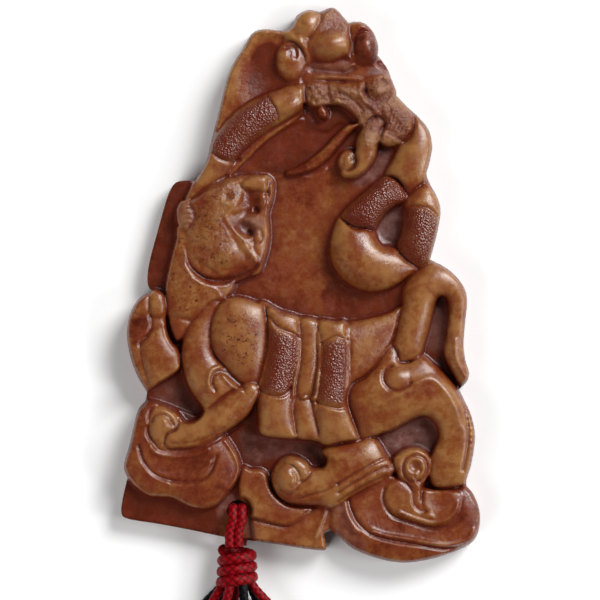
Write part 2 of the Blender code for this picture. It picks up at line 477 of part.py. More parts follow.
def carve_beast_head(cut):
    # the ear, a ridged fist
    cut.form([(186, 200.5), (180, 202), (177, 209), (177, 219), (180, 227), (187, 230.5), (194, 228),
              (197, 216), (195, 205), (190, 201)], edge=5.0, swell=0.6)
    for a in range(5):
        cut.line([(178 + 0.7 * a, 206 + 5 * a), (187, 204 + 5 * a), (195, 207 + 4.6 * a)], 1.0, -0.3)
    cut.form([(190, 203), (198, 196), (208, 188.5), (219, 182), (231, 177.5), (245, 175.5), (259, 175),
              (268, 176.5), (272.5, 182), (273, 192), (271, 202), (268, 211), (268, 222), (269, 236),
              (267, 250), (263, 263), (259, 273), (248, 277), (237, 281.5), (226, 284.5), (214, 284),
              (204, 280), (196, 273), (190, 264), (186.5, 252), (186, 240), (188, 228), (194, 218)],
              edge=5.1, swell=0.2)
    # forehead and cheek
    cut.boss(222, 205, 30, 24, 0.7, turn=-30)
    cut.boss(212, 232, 24, 24, 0.5)
    cut.line([(192, 205), (204, 196), (215, 189.5), (226, 185), (240, 181)], 2.4, 0.35)
    cut.line([(220, 192), (226, 188), (233, 190), (235.5, 197), (231, 204), (224, 205)], 1.8, 0.35)
    cut.boss(227, 197, 5, 5, -0.5)
    # nose, and the palate behind it
    cut.form([(243, 182), (250, 178), (258, 176.8), (266, 177.5), (267, 184), (266.5, 191), (259, 190),
              (250, 190), (244, 188)], edge=6.0, swell=0.45)
    cut.line([(268.5, 178), (268.5, 188), (267.5, 194)], 1.3, -0.5)
    cut.boss(249, 203, 11, 16, -0.85, turn=10, power=2.6)
    cut.boss(257, 210, 4.5, 5, -0.9)
    cut.form([(258, 196), (262, 193), (266, 195.5), (267, 202), (264.5, 208), (260.5, 207)], edge=5.6,
              swell=0.8)
    cut.line([(270, 186), (271, 196), (269, 207), (266, 215)], 1.8, 0.3)
    # open mouth with its lower fang, and the lip that rims it
    cut.boss(246, 229, 13, 9, -1.1, turn=35, power=3)
    cut.boss(250, 232.5, 4, 5, -0.8)
    cut.boss(242, 215, 12, 7, -0.5, turn=-20)
    cut.form([(254, 242), (254, 234), (256.5, 228), (261, 229), (262.5, 236), (260.5, 243)], edge=5.4,
              swell=0.9)
    cut.line([(225, 217), (230, 226), (237, 234), (243, 240), (249, 247)], 1.4, 0.4)
    cut.line([(244, 246), (249, 251), (253, 257), (257, 264)], 3.2, 0.5)
    cut.line([(226, 216), (232, 209), (238, 202), (241, 194)], 1.6, 0.3)
    cut.line([(267, 214), (268.5, 224), (268, 236)], 1.6, 0.3)
    # jaw
    cut.boss(229, 256, 20, 14, 0.6)
    cut.boss(257, 267, 9, 8, -0.3)
    # the folds under the jaw and the collar of loose skin
    cut.line([(190, 260), (196, 271), (206, 278), (220, 281), (234, 279), (247, 272)], 2.6, -0.5)
    for a in range(7):
        cut.line([(198 + 3 * a, 262 + 1.2 * a), (201.5 + 2.9 * a, 276 + 0.7 * a)], 1.0, -0.4)
    cut.line([(191, 278), (202, 285), (212, 288), (218, 292.5), (220, 298)], 1.3, 0.2)


def carve_tail(cut):
    cut.form([(431, 262), (420, 268.5), (411, 276), (405, 284), (403, 293), (402, 306), (398, 322),
              (393, 341), (388, 352), (388, 362), (397, 363), (410, 361), (420, 356), (425, 342),
              (430, 325), (434, 308), (438, 299), (443, 296.5), (448, 301), (449, 315), (447, 335),
              (444, 350), (447, 362), (453, 374), (459, 384), (466, 386), (471, 377), (469, 364),
              (466, 350), (466, 330), (468, 312), (470, 300), (467, 287), (459, 275), (446, 265)], edge=4.3,
              swell=0.9)
    cut.hollow([(443, 296), (437, 301), (433, 314), (429, 330), (424, 346), (422, 355), (430, 361),
                (440, 368), (450, 377), (455, 380), (449, 366), (445, 352), (448, 335), (450, 316),
                (449, 302)], 3.5, wall=3)
    cut.line([(455, 340), (455, 356), (460, 368), (466, 378)], 1.5, 0.3)
    cut.line([(390, 363), (397, 360.5), (406, 361), (414, 359)], 1.5, 0.35)


def carve_hind_leg(cut):
    cut.form([(385, 352), (392, 345), (398, 352), (400, 362), (410, 362), (422, 356), (433, 364),
              (445, 375), (456, 388), (464, 401), (473, 417), (479, 440), (474, 465), (468, 482),
              (458, 486.5), (444, 488), (434, 486), (429, 474), (429, 462), (434, 450), (439, 438),
              (438, 428), (432, 419.5), (424, 416), (414, 419), (404, 424), (396, 429), (384, 433),
              (372, 437), (360, 439), (354, 425), (349, 411), (347, 399), (351, 386), (364, 378),
              (376, 366)], edge=4.8, swell=0.5)
    # the scroll at the hip
    cut.line([(392, 366), (385, 371), (383.5, 380), (389, 388), (398, 390), (406, 387), (411, 383)],
              2.0, -0.5)
    cut.boss(398, 376, 12, 10, 0.4)
    cut.line([(378, 404), (389, 399), (400, 393), (410, 387), (421, 381), (432, 379), (441, 386),
              (450, 398), (456, 411), (459, 425)], 4.0, 0.35)
    # fur along the back of the leg
    cut.line([(440, 371), (450, 383), (459, 397), (465, 412), (468, 430), (467, 450), (463, 470)],
              1.5, -0.45)
    for a in range(17):
        x = 447 + 24 * math.sin(0.12 * a + 0.18)
        cut.line([(x, 376 + 6.2 * a), (x + 6, 379 + 6.2 * a)], 1.2, -0.25)
    cut.hollow([(383, 437), (392, 431), (402, 427), (412, 421), (422, 417.5), (431, 419), (437, 427),
                (438.5, 437), (434, 448), (428, 457), (415, 450), (405, 449), (397, 456), (388, 455),
                (383, 447)], 3.5, wall=3)


def carve_hind_foot(cut):
    cut.form([(322, 452), (328, 446), (345, 443), (360, 440), (373, 438), (380, 445), (386, 455),
              (396, 470), (384, 480), (366, 489), (350, 498), (333, 508), (320, 506), (300, 505),
              (288, 503), (279, 497), (273, 487), (272, 476), (275, 467), (282, 459), (292, 456),
              (302, 460), (310, 468), (322, 468), (327, 460)], edge=4.6, swell=0.6)
    for shift, depth in [(0, -0.45), (9, -0.45), (18, -0.4)]:
        cut.line([(386, 458 + shift), (370, 465 + shift), (352, 475 + shift), (338, 484 + shift)],
                  1.5, depth)
    cut.line([(338, 484), (325, 491), (310, 495), (298, 499)], 1.4, -0.35)
    # two toes, the lower one curled
    cut.form([(284, 460), (292, 457), (302, 460), (309, 467), (309, 476), (303, 482), (296, 478),
              (288, 468)], edge=5.4, swell=0.9)
    cut.form([(278, 471), (285, 464.5), (293, 466), (299, 473), (300, 482), (296, 490), (290, 494),
              (283, 491), (278, 482)], edge=5.6, swell=0.9)
    cut.line([(293, 472), (296, 478), (295, 485), (290, 488)], 1.3, -0.35)
    # claw ring over the other foot
    cut.form([(393, 460), (399, 453), (408, 448.5), (418, 448), (427, 453), (431, 462), (430, 473),
              (425, 482), (422, 490), (422, 504), (427, 512), (420, 512), (413, 504), (412, 492),
              (408, 484), (400, 479), (396, 470)], edge=5, swell=0.6)
    cut.line([(412, 482), (405, 477), (403, 468), (406, 459), (415, 455.5), (424, 459), (427, 468),
              (424, 477), (419, 482)], 1.7, -0.55)
    cut.boss(416, 466, 8, 9, 0.5)
    cut.line([(418, 468), (419, 478), (420, 490), (420, 503)], 1.3, -0.5)


def carve_left_cloud(cut):
    cut.form([(142, 402), (135, 412), (129, 440), (121, 466), (125, 475), (130, 480), (134, 486),
              (142, 492.5), (150, 496.5), (160, 497), (172, 498.5), (180, 502), (190, 507), (202, 509),
              (213, 507), (222, 500), (230, 491), (236, 482), (239, 473), (239.5, 464), (235, 452),
              (228, 441), (215, 425), (190, 415), (165, 405), (152, 401)], edge=4.5, swell=0.3)
    # dish of the curl
    cut.boss(180, 462, 38, 25, -0.9, power=3)
    cut.line([(139, 446), (142, 458), (148, 469), (158, 477), (172, 481), (190, 482), (203, 480),
              (211, 472), (217, 456)], 1.7, -0.5)
    cut.line([(143, 466), (150, 472.5), (158, 478.5), (168, 482)], 1.3, 0.3)
    cut.line([(150, 446), (156, 453), (166, 456), (180, 457), (196, 455), (208, 450)], 1.5, 0.35)
    cut.line([(200, 472), (206, 468), (210, 462)], 1.6, 0.3)
    cut.line([(225, 441), (231, 449), (236, 458), (239, 467), (236, 478), (229, 489)], 1.6, 0.4)


def carve_front_foot(cut):
    cut.form([(149, 420), (151, 412), (157, 407), (166, 408), (174, 413), (178, 421), (176, 430),
              (168, 434), (165, 444), (170, 450), (160, 450), (153, 443), (149, 432)], edge=5, swell=0.8)
    cut.line([(152, 422), (155, 416), (162, 414.5), (169, 418), (173, 425)], 1.6, -0.5)
    cut.line([(164, 421), (166, 426), (164, 431)], 1.2, 0.3)
    cut.line([(146, 424), (145, 414), (150, 407), (158, 404)], 1.5, 0.35)


def carve_right_cloud(cut):
    cut.form([(331, 507), (342, 501), (352, 496), (365, 489), (376, 484), (386, 478), (395, 476),
              (405, 482), (420, 487), (440, 490), (460, 488), (468, 486), (476, 496), (483, 512),
              (482, 532), (474, 546), (448, 558), (422, 565), (398, 566), (374, 561), (351, 551),
              (337, 538), (331, 530), (328, 518)], edge=4.1, swell=0.3)
    cut.boss(412, 514, 55, 32, -0.8, power=4)
    cut.line([(348, 499), (351, 509), (356, 520), (364, 529), (375, 536), (395, 541), (420, 545),
              (445, 549), (462, 546)], 2.0, -0.5)
    cut.line([(345, 502), (346, 512), (350, 522), (357, 532)], 2.4, 0.3)
    cut.line([(372, 531), (385, 535.5), (400, 538), (418, 541), (440, 545), (456, 544), (468, 539),
              (474, 530)], 1.8, 0.45)
    # inner curl
    cut.form([(399, 480), (391, 483), (385, 491), (384, 501), (388, 510), (395, 516), (408, 521),
              (422, 525), (436, 526.5), (448, 524), (457, 516), (461, 505), (461, 494), (450, 491),
              (430, 490), (412, 487)], edge=4.9, swell=0.3)
    cut.boss(434, 501, 20, 16, -0.9, power=3)
    cut.line([(399, 512), (410, 517), (422, 521), (434, 523), (446, 520), (454, 513), (458, 503)],
              1.6, 0.45)
    cut.line([(413, 490), (414, 500), (418, 508), (425, 514), (432, 516)], 1.4, 0.35)
    cut.line([(358, 490), (372, 487), (384, 480.5), (394, 477.5)], 1.4, 0.3)


def carve_foot_panel(cut):
    cut.form([(243, 467), (250, 470), (261, 470.5), (266, 475), (268, 483), (272, 492), (279, 500),
              (288, 506), (300, 508), (315, 508), (326, 506), (331, 510), (327, 520), (324, 530),
              (324, 537), (330, 545), (326, 556), (300, 553), (275, 549), (246, 545), (246, 530),
              (247, 515), (242, 502), (239, 488), (240, 475)], edge=4.5, swell=0.12)
    cut.form([(246, 519), (262, 522), (276, 525), (288, 527), (298, 523), (307, 515), (314, 509),
              (326, 508), (331, 512), (328, 540), (328, 556), (246, 546)], edge=4.15, swell=0.1)
    cut.line([(248, 518), (262, 521), (276, 524.5), (288, 526), (298, 521), (306, 513), (314, 508.5)],
              1.6, -0.4)
    cut.line([(326, 508), (323, 518), (319, 529), (315, 539)], 1.5, 0.4)
    cut.hollow([(236, 428), (250, 426), (262, 434), (290, 439), (316, 442), (325, 446), (325.5, 456),
                (322, 467), (310, 469), (302, 460), (292, 456), (282, 459), (274, 466), (262, 468),
                (244, 466), (238, 452)], 3.5, wall=3)


def cut_foreleg_recess(cut):
    cut.hollow([(152, 390), (160, 384), (172, 377), (181, 372), (186, 382), (192, 392), (200, 403),
                (204, 412), (198, 421), (186, 424), (178, 416), (168, 408), (156, 404), (149, 399)],
                3.5, wall=3)


def plaque_x(x):
    """Where a drawing's x lies on the plaque, in metres."""
    return ((x - DRAWING_LEFT) / (DRAWING_RIGHT - DRAWING_LEFT) - 0.5) * PLAQUE_WIDTH


def plaque_y(y):
    return (0.5 - (y - DRAWING_TOP) / (DRAWING_FOOT - DRAWING_TOP)) * PLAQUE_HEIGHT


def plaque_z(level):
    return PLATE_THICKNESS + (level - PLATE_LEVEL) * RELIEF_DEPTH / (CROWN_LEVEL - PLATE_LEVEL)


def carved_levels():
    """All of the carving, from the ground up."""
    relief = Relief()
    lay_ground(relief)
    carve_cloud_head(relief)
    carve_dragon_back(relief)
    carve_dragon_coils(relief)
    carve_dragon_head(relief)
    carve_raised_paw(relief)
    carve_left_cloud(relief)
    carve_right_cloud(relief)
    carve_foot_panel(relief)
    carve_beast_body(relief)
    carve_chest_and_foreleg(relief)
    cut_foreleg_recess(relief)
    carve_front_foot(relief)
    carve_beast_head(relief)
    carve_tail(relief)
    carve_hind_leg(relief)
    carve_hind_foot(relief)
    wear_cord_trough(relief)
    # the carving rolls off to the outer edge
    outline = smooth_curve(OUTLINE, closed=True)
    unit_width = PLAQUE_WIDTH / (DRAWING_RIGHT - DRAWING_LEFT)
    inside = np.clip(-edge_distance(outline, relief.x, relief.y) * unit_width / EDGE_ROLL, 0, 1)
    edge_level = PLATE_LEVEL + (EDGE_WALL - PLATE_THICKNESS) * (CROWN_LEVEL - PLATE_LEVEL) / RELIEF_DEPTH
    roll = edge_level + (ROLL_TOP - edge_level) * np.sqrt(1 - (1 - inside) ** 2)
    relief.level = blur(np.minimum(relief.level, roll), SOFTEN)
    return relief


def wear_cord_trough(relief):
    relief.hollow([(219, 506), (224, 499), (236, 494), (249, 498), (254, 508), (253, 520), (252, 550),
                   (214, 550), (216, 520)], TROUGH_LEVEL, wall=4)


def material(name, colour, roughness):
    made = bpy.data.materials.new(name)
    made.diffuse_color = (*colour, 1)
    made.use_nodes = True
    shader = made.node_tree.nodes["Principled BSDF"]
    shader.inputs["Base Color"].default_value = (*colour, 1)
    shader.inputs["Roughness"].default_value = roughness
    shader.inputs["Metallic"].default_value = 0
    return made


def add_mesh(name, bm, collection, finish=None):
    """Turn a bmesh into an object."""
    mesh = bpy.data.meshes.new(name)
    bm.to_mesh(mesh)
    bm.free()
    item = bpy.data.objects.new(name, mesh)
    collection.objects.link(item)
    if finish:
        mesh.materials.append(finish)
    return item


def hide_cutter(item):
    item.hide_render = True
    item.display_type = "WIRE"
    return item


def add_boolean(item, cutter, operation):
    cut = item.modifiers.new(cutter.name, "BOOLEAN")
    cut.operation = operation
    cut.object = cutter
    cut.solver = "EXACT"


def outline_cutter(cutters):
    """The plaque's outline, as a block from the back to well above the carving."""
    curve = bpy.data.curves.new("plaque_outline", "CURVE")
    curve.dimensions = "2D"
    curve.fill_mode = "BOTH"
    block = 2 * (PLATE_THICKNESS + RELIEF_DEPTH)
    curve.extrude = block / 2
    points = smooth_curve(OUTLINE, closed=True, step=OUTLINE_STEP)
    kept = [p for p, q in zip(points, np.roll(points, -1, 0)) if math.dist(p, q) > OUTLINE_STEP / 4]
    spline = curve.splines.new("POLY")
    spline.points.add(len(kept) - 1)
    for point, (x, y) in zip(spline.points, kept):
        point.co = (plaque_x(x), plaque_y(y), 0, 1)
    spline.use_cyclic_u = True
    drawn = bpy.data.objects.new("plaque_outline", curve)
    cutters.objects.link(drawn)
    bpy.context.view_layer.update()
    mesh = bpy.data.meshes.new_from_object(drawn.evaluated_get(bpy.context.evaluated_depsgraph_get()))
    bpy.data.objects.remove(drawn)
    bm = bmesh.new()
    bm.from_mesh(mesh)
    bmesh.ops.remove_doubles(bm, verts=bm.verts, dist=1e-6)
    bmesh.ops.recalc_face_normals(bm, faces=bm.faces)
    bmesh.ops.translate(bm, verts=bm.verts, vec=(0, 0, block / 2))
    return hide_cutter(add_mesh("outline_cutter", bm, cutters))


def carved_block(relief, cutters):
    """The carving on a grid, thinned, then closed to a block that reaches below the back."""
    width = PLAQUE_WIDTH + 2 * SHEET_MARGIN
    height = PLAQUE_HEIGHT + 2 * SHEET_MARGIN
    bm = bmesh.new()
    bmesh.ops.create_grid(bm, x_segments=round(width / SHEET_PITCH), y_segments=round(height / SHEET_PITCH),
                          size=0.5)
    bmesh.ops.scale(bm, vec=(width, height, 1), verts=bm.verts)
    for vert in bm.verts:
        x = DRAWING_LEFT + (vert.co.x / PLAQUE_WIDTH + 0.5) * (DRAWING_RIGHT - DRAWING_LEFT)
        y = DRAWING_TOP + (0.5 - vert.co.y / PLAQUE_HEIGHT) * (DRAWING_FOOT - DRAWING_TOP)
        vert.co.z = plaque_z(relief.at(x, y))
    sheet = add_mesh("carved_sheet", bm, cutters)
    thin = sheet.modifiers.new("thin", "DECIMATE")
    thin.ratio = SHEET_SHARE
    bpy.context.view_layer.update()
    mesh = bpy.data.meshes.new_from_object(sheet.evaluated_get(bpy.context.evaluated_depsgraph_get()))
    bpy.data.objects.remove(sheet)
    bm = bmesh.new()
    bm.from_mesh(mesh)
    rim = [edge for edge in bm.edges if edge.is_boundary]
    skirt = bmesh.ops.extrude_edge_only(bm, edges=rim)["geom"]
    for vert in (item for item in skirt if isinstance(item, bmesh.types.BMVert)):
        vert.co.z = -PLATE_THICKNESS
    bottom = [item for item in skirt if isinstance(item, bmesh.types.BMEdge)]
    bmesh.ops.contextual_create(bm, geom=bottom)
    bmesh.ops.recalc_face_normals(bm, faces=bm.faces)
    return bm


def make_plaque(parts, cutters):
    relief = carved_levels()
    stone = material("serpentine", (0.30, 0.115, 0.045), 0.32)
    plaque = add_mesh("carved_plaque", carved_block(relief, cutters), parts, stone)
    add_boolean(plaque, outline_cutter(cutters), "INTERSECT")
    tall = 4 * (PLATE_THICKNESS + RELIEF_DEPTH)
    hole_x, hole_y = plaque_x(HOLE_PLACE[0]), plaque_y(HOLE_PLACE[1])
    bm = bmesh.new()
    bmesh.ops.create_cone(bm, cap_ends=True, segments=HOLE_SIDES, radius1=HOLE_DIAMETER / 2,
                          radius2=HOLE_DIAMETER / 2, depth=tall)
    bmesh.ops.translate(bm, verts=bm.verts, vec=(hole_x, hole_y, 0))
    add_boolean(plaque, hide_cutter(add_mesh("hole_cutter", bm, cutters)), "DIFFERENCE")
    # the channel runs from the hole's middle out through the foot
    run = hole_y + PLAQUE_HEIGHT / 2
    bm = bmesh.new()
    bmesh.ops.create_cube(bm, size=1)
    bmesh.ops.scale(bm, vec=(HOLE_DIAMETER, run, 2 * CHANNEL_DEPTH), verts=bm.verts)
    bmesh.ops.translate(bm, verts=bm.verts, vec=(hole_x, hole_y - run / 2, 0))
    add_boolean(plaque, hide_cutter(add_mesh("channel_cutter", bm, cutters)), "DIFFERENCE")
    for polygon in plaque.data.polygons:
        polygon.use_smooth = True
    return plaque


def along(route, spacing):
    """Points a given distance apart on a smooth curve through the route's points."""
    dense = smooth_curve(route, step=spacing / 8)
    run = np.concatenate([[0], np.cumsum(np.linalg.norm(np.diff(dense, axis=0), axis=1))])
    places = np.linspace(0, run[-1], max(3, round(run[-1] / spacing) + 1))
    return [[np.interp(place, run, dense[:, k]) for k in range(3)] for place in places]


def add_cord(name, route, diameter, spacing, finish, parts, start=None):
    """A cord along a route. A start is one more point before it."""
    curve = bpy.data.curves.new(name, "CURVE")
    curve.dimensions = "3D"
    curve.bevel_depth = diameter / 2
    curve.bevel_resolution = 2
    curve.use_fill_caps = True
    points = ([start] if start else []) + along(route, spacing)
    spline = curve.splines.new("POLY")
    spline.points.add(len(points) - 1)
    for point, place in zip(spline.points, points):
        point.co = (*place, 1)
    spline.use_smooth = True
    curve.materials.append(finish)
    item = bpy.data.objects.new(name, curve)
    parts.objects.link(item)
    return item


def knot_face():
    """Where the knot's upper end lies along Y."""
    return plaque_y(FOOT_EDGE) - GAP


def knot_middle():
    return plaque_x(HOLE_PLACE[0]) + KNOT_SHIFT


def loop_route(side):
    """From the knot up over the front, down through the hole and back through the channel."""
    reach = LOOP_CORD / 2 + GAP
    aside = side * (LOOP_CORD + GAP) / 2
    x = plaque_x(HOLE_PLACE[0]) + aside
    hole_y = plaque_y(HOLE_PLACE[1])
    rim = hole_y - math.sqrt((HOLE_DIAMETER / 2) ** 2 - aside ** 2)
    bend = hole_y + LOOP_RISE - rim
    start = plaque_y(FOOT_EDGE)
    half_way = (start + rim) / 2
    front = plaque_z(TROUGH_LEVEL) + TROUGH_SLACK
    back = CHANNEL_DEPTH - TROUGH_SLACK
    route = [(x + LOOP_LEAN, start, front + reach), (x + LOOP_LEAN, half_way, front + reach)]
    for corner, angles in ((front, (90, 60, 30, 0)), (back, (0, -30, -60, -90))):
        for angle in (math.radians(a) for a in angles):
            route.append((x, rim + bend * math.cos(angle), corner + reach * math.sin(angle)))
    return route + [(x, half_way, back - reach), (x, start, back - reach)]


def make_knot(finish, parts):
    """The wrapped knot: a bar with one swelling for each turn of the cord."""
    bm = bmesh.new()
    radius = KNOT_DIAMETER / 2
    steps = KNOT_TURNS * KNOT_STEPS
    profile = [(0, 0)]
    for i in range(steps + 1):
        wave = abs(math.sin(math.pi * i / KNOT_STEPS))
        profile.append((radius * (KNOT_NECK + (1 - KNOT_NECK) * wave), KNOT_LENGTH * i / steps))
    profile.append((0, KNOT_LENGTH))
    verts = [bm.verts.new((x, -y, 0)) for x, y in profile]
    edges = [bm.edges.new(pair) for pair in zip(verts[:-1], verts[1:])]
    bmesh.ops.spin(bm, geom=verts + edges, axis=(0, 1, 0), cent=(0, 0, 0), steps=KNOT_SIDES,
                   angle=2 * math.pi, use_merge=True)
    bmesh.ops.remove_doubles(bm, verts=bm.verts, dist=1e-6)
    bmesh.ops.recalc_face_normals(bm, faces=bm.faces)
    for face in bm.faces:
        face.smooth = True
    knot = add_mesh("wrapped_knot", bm, parts, finish)
    knot.location = (knot_middle(), knot_face(), KNOT_HEIGHT)
    return knot


def make_cords(parts):
    red = material("red_cord", (0.35, 0.005, 0.012), 0.75)
    black = material("black_cord", (0.008, 0.008, 0.010), 0.75)
    for name, side in (("cord_loop_left", -1), ("cord_loop_right", 1)):
        add_cord(name, loop_route(side), LOOP_CORD, LOOP_SPACING, red, parts)
    make_knot(red, parts)
    knot_end = knot_face() - KNOT_LENGTH
    for name, (colour, route) in TASSEL_ROUTES.items():
        places = [(knot_middle() + x / 1000, knot_end - run * TASSEL_LENGTH, z / 1000) for x, run, z in route]
        start = (places[0][0], knot_end - GAP, places[0][2])
        places[0] = (places[0][0], knot_end - GAP - TASSEL_LEAD, places[0][2])
        add_cord(name, places, TASSEL_CORD, TASSEL_SPACING, red if colour == "red" else black, parts, start)


def main():
    for item in list(bpy.data.objects):
        bpy.data.objects.remove(item)
    parts = bpy.data.collections.new("serpentine_pendant")
    cutters = bpy.data.collections.new("cutters")
    for collection in (parts, cutters):
        bpy.context.scene.collection.children.link(collection)
    make_plaque(parts, cutters)
    make_cords(parts)


main()
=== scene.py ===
import math
import time

import bmesh
import bpy
import numpy as np
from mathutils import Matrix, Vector


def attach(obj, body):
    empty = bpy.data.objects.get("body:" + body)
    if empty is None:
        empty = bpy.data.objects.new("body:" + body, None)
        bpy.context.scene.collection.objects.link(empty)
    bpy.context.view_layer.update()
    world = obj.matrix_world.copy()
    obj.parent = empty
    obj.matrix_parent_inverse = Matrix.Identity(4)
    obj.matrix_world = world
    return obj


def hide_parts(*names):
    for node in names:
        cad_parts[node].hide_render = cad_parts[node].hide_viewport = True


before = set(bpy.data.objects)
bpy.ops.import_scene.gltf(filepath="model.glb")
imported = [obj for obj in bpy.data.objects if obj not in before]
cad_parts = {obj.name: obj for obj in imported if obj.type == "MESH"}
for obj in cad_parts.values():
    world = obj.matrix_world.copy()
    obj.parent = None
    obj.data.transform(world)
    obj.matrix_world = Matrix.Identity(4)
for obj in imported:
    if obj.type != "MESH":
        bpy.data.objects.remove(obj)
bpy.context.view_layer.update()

startTime = time.time()
mm = 0.001


def stage(words):
    print(f"{words}, {time.time() - startTime:.0f} s in")


def linear(hexColour, alpha=1.0):
    # sRGB hex to the linear values that the shaders want
    channels = [int(hexColour[i:i + 2], 16) / 255 for i in (1, 3, 5)]
    return [c / 12.92 if c <= 0.04045 else ((c + 0.055) / 1.055) ** 2.4 for c in channels] + [alpha]


def addNode(tree, kind, settings=None, **links):
    # settings are the node's own values, its inputs' or its colour stops, and links are other nodes' outputs
    node = tree.nodes.new(kind)
    for key, value in (settings or {}).items():
        if key == "stops":
            for _ in value[2:]:
                node.color_ramp.elements.new(0.5)
            for element, (place, colour) in zip(node.color_ramp.elements, value):
                element.position = place
                element.color = linear(colour)
        elif isinstance(key, int) or key in node.inputs:
            node.inputs[key].default_value = value
        else:
            setattr(node, key, value)
    for key, source in links.items():
        key = key.replace("_", " ")
        tree.links.new(source, node.inputs[int(key[5:])] if key.startswith("input") else node.inputs[key])
    return node


def newMaterial(name):
    material = bpy.data.materials.new(name)
    material.use_nodes = True
    tree = material.node_tree
    return material, tree, tree.nodes["Principled BSDF"]


def newObject(name, bm, *materials):
    mesh = bpy.data.meshes.new(name)
    bm.to_mesh(mesh)
    bm.free()
    for material in materials:
        mesh.materials.append(material)
    made = bpy.data.objects.new(name, mesh)
    bpy.context.collection.objects.link(made)
    return made


def pointsOf(mesh):
    places = np.empty(len(mesh.vertices) * 3)
    mesh.vertices.foreach_get("co", places)
    return places.reshape(-1, 3)


def storeValues(mesh, name, values):
    # one number to a point, for the materials to read
    mesh.attributes.new(name, "FLOAT", "POINT").data.foreach_set("value", values)


# The photo's frame: looking straight down, 0.15 mm to a pixel
camera = {"height": 0.70, "across": 90.0 * mm, "middle": (-0.11 * mm, -2.25 * mm), "subject": 5 * mm,
          "sensor": 36.0}
cameraData = bpy.data.cameras.new("camera")
cameraData.sensor_width = camera["sensor"]
cameraData.lens = camera["sensor"] * (camera["height"] - camera["subject"]) / camera["across"]
cameraObject = bpy.data.objects.new("camera", cameraData)
cameraObject.location = (*camera["middle"], camera["height"])
bpy.context.collection.objects.link(cameraObject)
bpy.context.scene.camera = cameraObject


# Cords: braided, with the routes of the CAD model
cord = {"loop": 1.0 * mm, "loopDrawn": 1.5 * mm, "bulge": 0.35 * mm, "tassel": 1.4 * mm,
        "gap": 0.3 * mm, "lift": 0.2 * mm, "lean": -0.5 * mm, "overlap": 0.7 * mm,
        "knotLength": 5.4 * mm, "knotShift": -0.1 * mm, "tasselLength": 48 * mm, "intoKnot": 1.2 * mm,
        "sides": 26, "ring": 0.09 * mm, "stitch": 1.0 * mm, "yarns": 4, "relief": 0.14}
plaque = {"width": 53.9 * mm, "height": 83.4 * mm,
          "left": 121.0, "right": 480.5, "top": 7.0, "foot": 563.0,
          "hole": (237.5, 511.0), "holeRadius": 1.55 * mm, "channel": 2.0 * mm, "footEdge": 542.3,
          "trough": 3.6}


def plaqueX(x):
    return ((x - plaque["left"]) / (plaque["right"] - plaque["left"]) - 0.5) * plaque["width"]


def plaqueY(y):
    return (0.5 - (y - plaque["top"]) / (plaque["foot"] - plaque["top"])) * plaque["height"]


def smoothCurve(points, closed=False, step=1.5, axes=2):
    # Catmull-Rom through the points, where a point given twice makes a corner
    points = np.array(points, dtype=float)
    count = len(points)
    result = []
    for i in range(count if closed else count - 1):
        if closed:
            a, b, c, d = (points[(i + k) % count] for k in (-1, 0, 1, 2))
        else:
            a, b, c, d = (points[min(max(i + k, 0), count - 1)] for k in (-1, 0, 1, 2))
        steps = max(1, round(math.dist(b[:axes], c[:axes]) / step))
        for t in np.arange(steps) / steps:
            result.append(0.5 * (2 * b + (c - a) * t + (2 * a - 5 * b + 4 * c - d) * t ** 2
                                 + (3 * b - a - 3 * c + d) * t ** 3))
    if not closed:
        result.append(points[-1])
    return np.array(result)


def evenPoints(route, spacing):
    dense = smoothCurve(route, step=spacing / 3, axes=3)
    run = np.concatenate([[0], np.cumsum(np.linalg.norm(np.diff(dense, axis=0), axis=1))])
    places = np.linspace(0, run[-1], max(3, round(run[-1] / spacing) + 1))
    return np.stack([np.interp(places, run, dense[:, k]) for k in range(3)], axis=1)


def braidedCord(name, route, diameter, material):
    # a grid rolled up along the route, with the yarns of the braid raised on it
    points = evenPoints(route, cord["ring"])
    sides = cord["sides"]
    tangents = np.gradient(points, axis=0)
    tangents /= np.linalg.norm(tangents, axis=1)[:, None]
    upright = abs(tangents[0][2]) > 0.9
    side = np.cross(tangents[0], (1, 0, 0) if upright else (0, 0, 1))
    frames = []
    for tangent in tangents:
        side = side - tangent * (side @ tangent)
        side = side / np.linalg.norm(side)
        frames.append((side, np.cross(tangent, side)))
    bm = bmesh.new()
    bmesh.ops.create_grid(bm, x_segments=len(points) - 1, y_segments=sides, size=0.5)
    for vert in bm.verts:
        ring = round((vert.co.x + 0.5) * (len(points) - 1))
        turn = vert.co.y + 0.5
        along = ring * cord["ring"] / cord["stitch"]
        a = cord["yarns"] * turn + along
        b = cord["yarns"] * turn - along
        over, under = (a, b) if (math.floor(a) + math.floor(b)) % 2 else (b, a)
        across = 1 - (2 * (over % 1) - 1) ** 2
        length = 1 - (2 * (under % 1) - 1) ** 4
        height = math.sqrt(max(across * length, 0))
        radius = diameter / 2 * (1 - cord["relief"] * (1 - height))
        u, v = frames[ring]
        angle = 2 * math.pi * turn
        vert.co = points[ring] + radius * (math.cos(angle) * u + math.sin(angle) * v)
    bmesh.ops.remove_doubles(bm, verts=bm.verts, dist=1e-6)
    ends = [edge for edge in bm.edges if edge.is_boundary]
    bmesh.ops.holes_fill(bm, edges=ends)
    bmesh.ops.recalc_face_normals(bm, faces=bm.faces)
    piece = newObject(name, bm, material)
    piece.data.shade_smooth()
    # how far each point stands out of the cord, for the painted shade and painted highlight of the stitches
    spots = pointsOf(piece.data)
    stands = np.empty(len(spots))
    batch = 4000
    for start in range(0, len(spots), batch):
        reach = spots[start:start + batch, None] - points[None, ::3]
        stands[start:start + batch] = np.sqrt((reach ** 2).sum(2).min(1))
    low = diameter / 2 * (1 - cord["relief"])
    storeValues(piece.data, "crest", np.clip((stands - low) / (diameter / 2 - low), 0, 1))
    return piece, points


